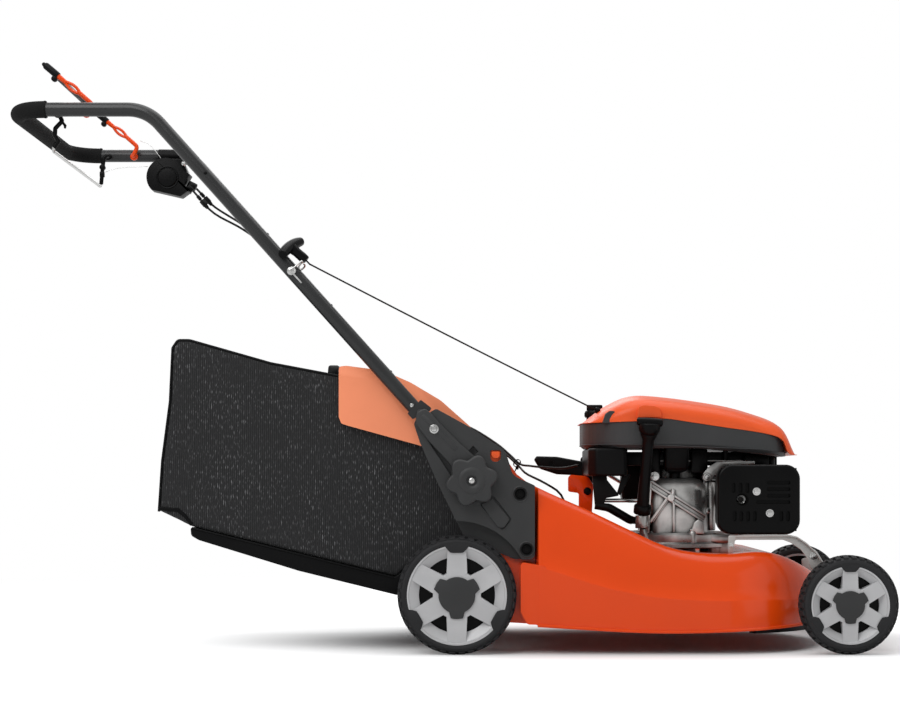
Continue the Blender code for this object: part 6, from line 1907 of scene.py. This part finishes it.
class MOWER_OT_exhaust(bpy.types.Operator):
    """Build the muffler and its slotted guard"""

    bl_idname = "mower.exhaust"
    bl_label = "Exhaust"

    def execute(self, context):
        """Muffler, guard, screws."""
        shell = block(0.484, 0.602, -0.178, -0.112, 0.224, 0.316, 0.008, 3)
        fuse(shell, cross_rod(0.5, 0.272, -0.113, -0.0623, 0.013, 32, 0.001))
        keep("muffler_can", shell, "burnt_steel", "chassis", "muffler")
        lip = turned(
            [(0.005, -0.002), (0.005, 0.005), (0.0076, 0.0065), (0.0086, 0.005), (0.0086, -0.002)],
            at(MUFFLER_OUTLET, -0.178), (0, -1, 0), 32,
        )
        keep("muffler_outlet", lip, "bright_steel", "chassis")
        outline = rounded(rectangle(0.468, 0.617, 0.209, 0.335), 0.026, 10)
        made = keep(
            "exhaust_guard", plate(outline, GUARD_FACE, -0.16, 0.0055, 4), "black_enamel", "chassis", "muffler_guard",
        )
        inner = rounded(rectangle(0.4705, 0.6145, 0.2115, 0.3325), 0.0235, 8)
        carve(made, plate(inner, GUARD_FACE + 0.0025, -0.15))
        slots = [(0.4965 + 0.0125 * k, 0.293, 0.0034, 0.0092) for k in range(3)]
        slots += [(0.5775, 0.3025 - 0.0118 * k, 0.0213, 0.0034) for k in range(3)]
        slots += [(0.568, 0.2675, 0.0308, 0.0034)]
        slots += [(x, 0.242, 0.0034, 0.0092) for x in (0.4985, 0.5105, 0.5225, 0.5345, 0.5825, 0.5945)]
        for x, z, half_x, half_z in slots:
            corners = rectangle(x - half_x, x + half_x, z - half_z, z + half_z)
            carve(made, plate(rounded(corners, 0.003, 4), GUARD_FACE - 0.01, GUARD_FACE + 0.01))
        carve(made, cross_rod(*MUFFLER_OUTLET, GUARD_FACE - 0.01, GUARD_FACE + 0.01, 0.0115, 40))
        soften(made, 0.0007, 2, 50)
        # Painted shade: a black sheet close behind the slots hides the muffler, so the slots read black like the
        # shade inside the guard.
        shade_sheet = keep("guard_shade_sheet", block(0.474, 0.611, -0.1945, -0.193, 0.215, 0.329), "black_enamel", "chassis")
        carve(shade_sheet, cross_rod(*MUFFLER_OUTLET, -0.21, -0.18, 0.01, 32))
        posts, heads = bmesh.new(), bmesh.new()
        for x, z in ((0.538, 0.2865), (0.5617, 0.2475)):
            fuse(posts, cross_rod(x, z, GUARD_FACE + 0.002, -0.1783, 0.0055, 24, 0.0005))
            fuse(
                heads, cross_rod(x, z, GUARD_FACE - 0.001, GUARD_FACE + 0.001, 0.0072, 32, 0.0004),
                cross_rod(x, z, GUARD_FACE - 0.005, GUARD_FACE - 0.0006, 0.0054, 6, 0.0007),
            )
        keep("guard_posts", posts, "black_enamel", "chassis")
        keep("guard_screws", heads, "bright_steel", "chassis")
        ring = turned(rectangle(0.0112, 0.0128, 0.0, 0.004), at(MUFFLER_OUTLET, GUARD_FACE + 0.0015), (0, 1, 0), 40)
        keep("outlet_ring", ring, "black_enamel", "chassis")
        return {"FINISHED"}


class MOWER_OT_front(bpy.types.Operator):
    """Build the bright front stay, and the height lever with its quadrant"""

    bl_idname = "mower.front"
    bl_label = "Front stay and height lever"

    def execute(self, context):
        """Stay, lever, quadrant."""
        outer, inner = 0.2, 0.197
        foot = [(0.487, 0.1765), (0.497, 0.177), (0.499, 0.1995)]
        below = [(0.586, 0.1995), (0.6, 0.194), (0.618, 0.1815), (0.6295, 0.166), (0.636, 0.148)]
        eye = [(0.69, 0.112), (0.738, 0.0845), (0.752, 0.0755), (0.766, 0.0905), (0.756, 0.1125), (0.705, 0.152)]
        above = [(0.658, 0.1585), (0.643, 0.18), (0.627, 0.195), (0.611, 0.2055), (0.598, 0.2083), (0.487, 0.2075)]
        radii = [0.002, 0.002, 0.004] + [0.01] * 4 + [0.006, 0.02, 0.012, 0.01] + [0.012] * 3 + [0.01] * 5 + [0.003]
        strap = plate(rounded(foot + below + eye + above, radii, 5), -outer, -inner, 0.0008, 2)
        made = keep("stay", strap, "plated_stay", "chassis", "front_stay")
        short = rounded([*eye, (0.686, 0.148)], [0.006, 0.012, 0.01, 0.012, 0.012, 0.01, 0.006], 5)
        short = plate(short, inner, outer, 0.0008, 2)
        far = keep("stay_far_eye", short, "plated_stay", "chassis")
        for piece in (made, far):
            carve(piece, cross_rod(*FRONT_EYE, -0.25, 0.25, 0.0086, 32))
        bar = block(0.714, 0.732, -inner - 0.001, inner + 0.001, 0.124, 0.128, 0.001)
        edge = [(0.5, 0.207), (0.598, 0.2078), (0.611, 0.205), (0.627, 0.1945), (0.643, 0.1795), (0.656, 0.1605)]
        inset = [(x - 0.0012, z - 0.0022) for x, z in reversed(edge)]
        fuse(bar, plate(edge + inset, -inner - 0.0095, -inner, 0.0004, 1))
        keep("stay_crossbar", bar, "plated_stay", "chassis")
        bolts = bmesh.new()
        for x, z, size in ((0.6405, 0.171, 0.0054), (0.492, 0.1905, 0.0034)):
            fuse(
                bolts, cross_rod(x, z, -0.1995, -0.2012, size * 1.33, 28, 0.0003),
                cross_rod(x, z, -0.2008, -0.2055, size, 6, 0.0007),
            )
        keep("stay_bolts", bolts, "bright_steel", "chassis")
        self.lever()
        return {"FINISHED"}

    def lever(self):
        """The cutting-height lever, its grip, crank and quadrant."""
        x, z, y = 0.25, 0.285, 0.13
        outline = [
            (x - 0.008, z - 0.012), (x + 0.01, z - 0.01), (x + 0.012, z + 0.042), (x - 0.006, z + 0.058),
            (x - 0.06, z + 0.068), (x - 0.1, z + 0.069), (x - 0.105, z + 0.062), (x - 0.094, z + 0.044),
            (x - 0.06, z + 0.033), (x - 0.02, z + 0.031),
        ]
        shape = rounded(outline, [0.006, 0.006, 0.012, 0.012, 0.02, 0.004, 0.004, 0.012, 0.014, 0.012], 6)
        shell = plate(shape, y - 0.01, y + 0.01, 0.0042, 3)
        made = keep("lever", shell, "black_plastic", "height_lever", "height_lever")
        carve(made, cross_rod(0.179, 0.34, y - 0.013, y - 0.0045, 0.0046, 24))
        crank = rounded(
            [(x - 0.01, z - 0.009), (x + 0.01, z - 0.009), (x + 0.0085, z + 0.07), (x - 0.0085, z + 0.07)], 0.008, 6,
        )
        pivot = cross_rod(x, z, y - 0.022, 0.218, 0.0069, 28, 0.0006)
        attach(made, pivot, plate(crank, 0.2135, 0.2195, 0.001, 2))
        top = [
            (0.233, curved(SHOULDER, 0.233) + 0.0003), (0.259, curved(SHOULDER, 0.259) + 0.0003), (0.262, z + 0.012),
            (0.251, z + 0.029), (0.212, z + 0.033), (0.212, z - 0.001), (0.233, z - 0.004),
        ]
        shape = rounded(top, [0.0, 0.001, 0.006, 0.01, 0.008, 0.004, 0.004], 5)
        quadrant = keep(
            "quadrant", plate(shape, y - 0.018, y - 0.0105, 0.0012, 2), "orange_enamel", "chassis", "height_quadrant",
        )
        carve(quadrant, cross_rod(x, z, 0.08, 0.16, 0.0076, 32))


# ---------------------------------------------------------------- solids that stay

KEPT = {
    "drive_belt": "belt_rubber", "gearbox": "cast_aluminium", "gearbox_pulley": "bright_steel",
    "blade": "black_enamel", "blade_adapter": "cast_aluminium", "crankshaft": "bright_steel",
    "rear_axle": "bright_steel", "rear_axle_carrier": "black_enamel", "front_axle": "bright_steel",
    "link_rod": "bright_steel",
}


class MOWER_OT_solids(bpy.types.Operator):
    """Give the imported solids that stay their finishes"""

    bl_idname = "mower.solids"
    bl_label = "Packed solids"

    def execute(self, context):
        """Every node that nothing replaces gets a finish by its name, or black plastic."""
        for name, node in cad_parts.items():
            node.data.materials.clear()
            node.data.materials.append(FINISHES[KEPT.get(name, "black_plastic")])
        return {"FINISHED"}


# ---------------------------------------------------------------- studio

class MOWER_OT_stage(bpy.types.Operator):
    """Set the floor, the soft lights, the white surroundings and the camera"""

    bl_idname = "mower.stage"
    bl_label = "Studio"

    def execute(self, context):
        """Floor, world, lamps, camera."""
        self.floor(tuple(context.scene.mower_colours.floor))
        self.surroundings()
        for name, place, aim, size, power in (
            ("key", (-1.6, -2.4, 3.0), (0.0, 0.0, 0.35), 2.6, 82.0),
            ("top", (0.4, 0.2, 3.6), (0.0, 0.0, 0.4), 3.0, 56.0),
            ("fill", (2.6, -1.8, 1.5), (0.1, 0.0, 0.35), 2.0, 8.0),
            ("back", (-0.6, 3.0, 2.4), (0.0, 0.0, 0.5), 2.4, 30.0),
        ):
            self.lamp(name, place, aim, size, power)
        self.camera()
        context.scene.view_settings.view_transform = "Standard"
        return {"FINISHED"}

    def floor(self, colour):
        """A wide pale disc that fades to white away from the mower and keeps its shadow; seen by the camera it glows,
        least under the mower, which paints a shadow beneath it.
        """
        bm = bmesh.new()
        bmesh.ops.create_circle(bm, cap_ends=True, segments=96, radius=9.0)
        mesh = bpy.data.meshes.new("studio_floor")
        bm.to_mesh(mesh)
        bm.free()
        made = bpy.data.objects.new("studio_floor", mesh)
        bpy.context.scene.collection.objects.link(made)
        paint = bpy.data.materials.new("studio_floor")
        paint.use_nodes = True
        tree = paint.node_tree
        shader = tree.nodes["Principled BSDF"]
        shader.inputs["Base Color"].default_value = (*colour, 1.0)
        shader.inputs["Roughness"].default_value = 0.9
        plain = shader.outputs["BSDF"]
        # Painted light and shadow: a glow on camera rays that grows away from the mower lifts the floor to white and
        # leaves a painted shadow under it.
        place = add_node(tree, "TexCoord", {}, "Object")
        under = add_node(
            tree, "Mapping", {"Location": (0.36, 0.0, 0.0), "Scale": (1.0, 0.62, 1.0), "Vector": place}, "Vector",
            vector_type="TEXTURE",
        )
        under = add_node(tree, "VectorMath", {0: under}, "Value", operation="LENGTH")
        painted_glow = add_node(tree, "Emission", {"Strength": ranged(tree, under, 0.0, 0.55, 0.34, 0.85)}, "Emission")
        painted_lift = add_node(tree, "AddShader", {0: plain, 1: painted_glow}, "Shader")
        seen = add_node(tree, "LightPath", {}, "Is Camera Ray")
        near = add_node(tree, "MixShader", {"Fac": seen, 1: plain, 2: painted_lift}, "Shader")
        white = add_node(tree, "Emission", {"Strength": 1.0}, "Emission")
        away = add_node(tree, "VectorMath", {0: place}, "Value", operation="LENGTH")
        away = add_node(
            tree, "MapRange", {"From Min": 0.95, "From Max": 2.4, "Value": away}, "Result",
            interpolation_type="SMOOTHSTEP",
        )
        fade = add_node(tree, "MixShader", {"Fac": away, 1: near, 2: white}, "Shader")
        tree.links.new(fade, tree.nodes["Material Output"].inputs["Surface"])
        mesh.materials.append(paint)

    def surroundings(self):
        """White behind the mower and in its gloss, softer as a light."""
        sky = bpy.data.worlds.new("studio")
        bpy.context.scene.world = sky
        sky.use_nodes = True
        tree = sky.node_tree
        ground = tree.nodes["Background"]
        ground.inputs["Color"].default_value = (0.95, 0.97, 1.0, 1.0)
        ground.inputs["Strength"].default_value = 0.3
        white, glossy = [
            add_node(tree, "Background", {"Color": (1.0, 1.0, 1.0, 1.0), "Strength": strength}, "Background")
            for strength in (1.0, 0.55)
        ]
        ray = tree.nodes.new("ShaderNodeLightPath").outputs
        seen = maths(tree, "MAXIMUM", ray["Is Camera Ray"], ray["Is Transmission Ray"])
        lit = {"Fac": ray["Is Glossy Ray"], 1: ground.outputs["Background"], 2: glossy}
        lit = add_node(tree, "MixShader", lit, "Shader")
        mix = add_node(tree, "MixShader", {"Fac": seen, 1: lit, 2: white}, "Shader")
        tree.links.new(mix, tree.nodes["World Output"].inputs["Surface"])

    def lamp(self, name, place, aim, size, power):
        """A soft square lamp turned to a point."""
        light = bpy.data.lights.new(name, "AREA")
        light.shape = "SQUARE"
        light.size = size
        light.energy = power
        made = bpy.data.objects.new(name, light)
        bpy.context.scene.collection.objects.link(made)
        made.location = place
        made.rotation_euler = (Vector(aim) - Vector(place)).to_track_quat("-Z", "Y").to_euler()

    def camera(self):
        """Level with the deck, square to the mower's right side."""
        lens = bpy.data.cameras.new("photo_camera")
        lens.sensor_width = 36.0
        lens.lens = 73.2
        lens.shift_x = -0.0444
        lens.shift_y = 0.131
        made = bpy.data.objects.new("photo_camera", lens)
        bpy.context.scene.collection.objects.link(made)
        made.location = (0.07375, -3.494, 0.311)
        made.rotation_euler = (radians(90.0), 0.0, 0.0)
        bpy.context.scene.camera = made


# ---------------------------------------------------------------- panel and start

OPERATORS = (
    MOWER_OT_deck, MOWER_OT_wheels, MOWER_OT_brackets, MOWER_OT_arms, MOWER_OT_handle, MOWER_OT_bails,
    MOWER_OT_controls, MOWER_OT_starter, MOWER_OT_bag, MOWER_OT_flap, MOWER_OT_cover,
    MOWER_OT_crankcase, MOWER_OT_fittings, MOWER_OT_exhaust, MOWER_OT_front, MOWER_OT_solids, MOWER_OT_stage,
)


class MOWER_PT_build(bpy.types.Panel):
    """The mower's sizes, colours and building steps"""

    bl_idname = "MOWER_PT_build"
    bl_label = "Petrol Mower"
    bl_space_type = "VIEW_3D"
    bl_region_type = "UI"
    bl_category = "Mower"

    def draw(self, context):
        """List the settings, then a button for each step."""
        for group in (context.scene.mower_sizes, context.scene.mower_colours):
            box = self.layout.box()
            for name in group.bl_rna.properties.keys():
                if name not in ("rna_type", "name"):
                    box.prop(group, name)
        for step in OPERATORS:
            self.layout.operator(step.bl_idname)


CLASSES = (MowerSizes, MowerColours, *OPERATORS, MOWER_PT_build)


def register():
    """Add the classes and the scene's settings."""
    for entry in CLASSES:
        bpy.utils.register_class(entry)
    bpy.types.Scene.mower_sizes = bpy.props.PointerProperty(type=MowerSizes)
    bpy.types.Scene.mower_colours = bpy.props.PointerProperty(type=MowerColours)


def unregister():
    """Remove them again."""
    del bpy.types.Scene.mower_colours
    del bpy.types.Scene.mower_sizes
    for entry in reversed(CLASSES):
        bpy.utils.unregister_class(entry)


def main():
    """Build everything in order."""
    register()
    make_finishes(bpy.context.scene.mower_colours)
    for step in OPERATORS:
        group, action = step.bl_idname.split(".")
        getattr(getattr(bpy.ops, group), action)()
    bpy.context.view_layer.update()


if __name__ == "__main__":
    main()
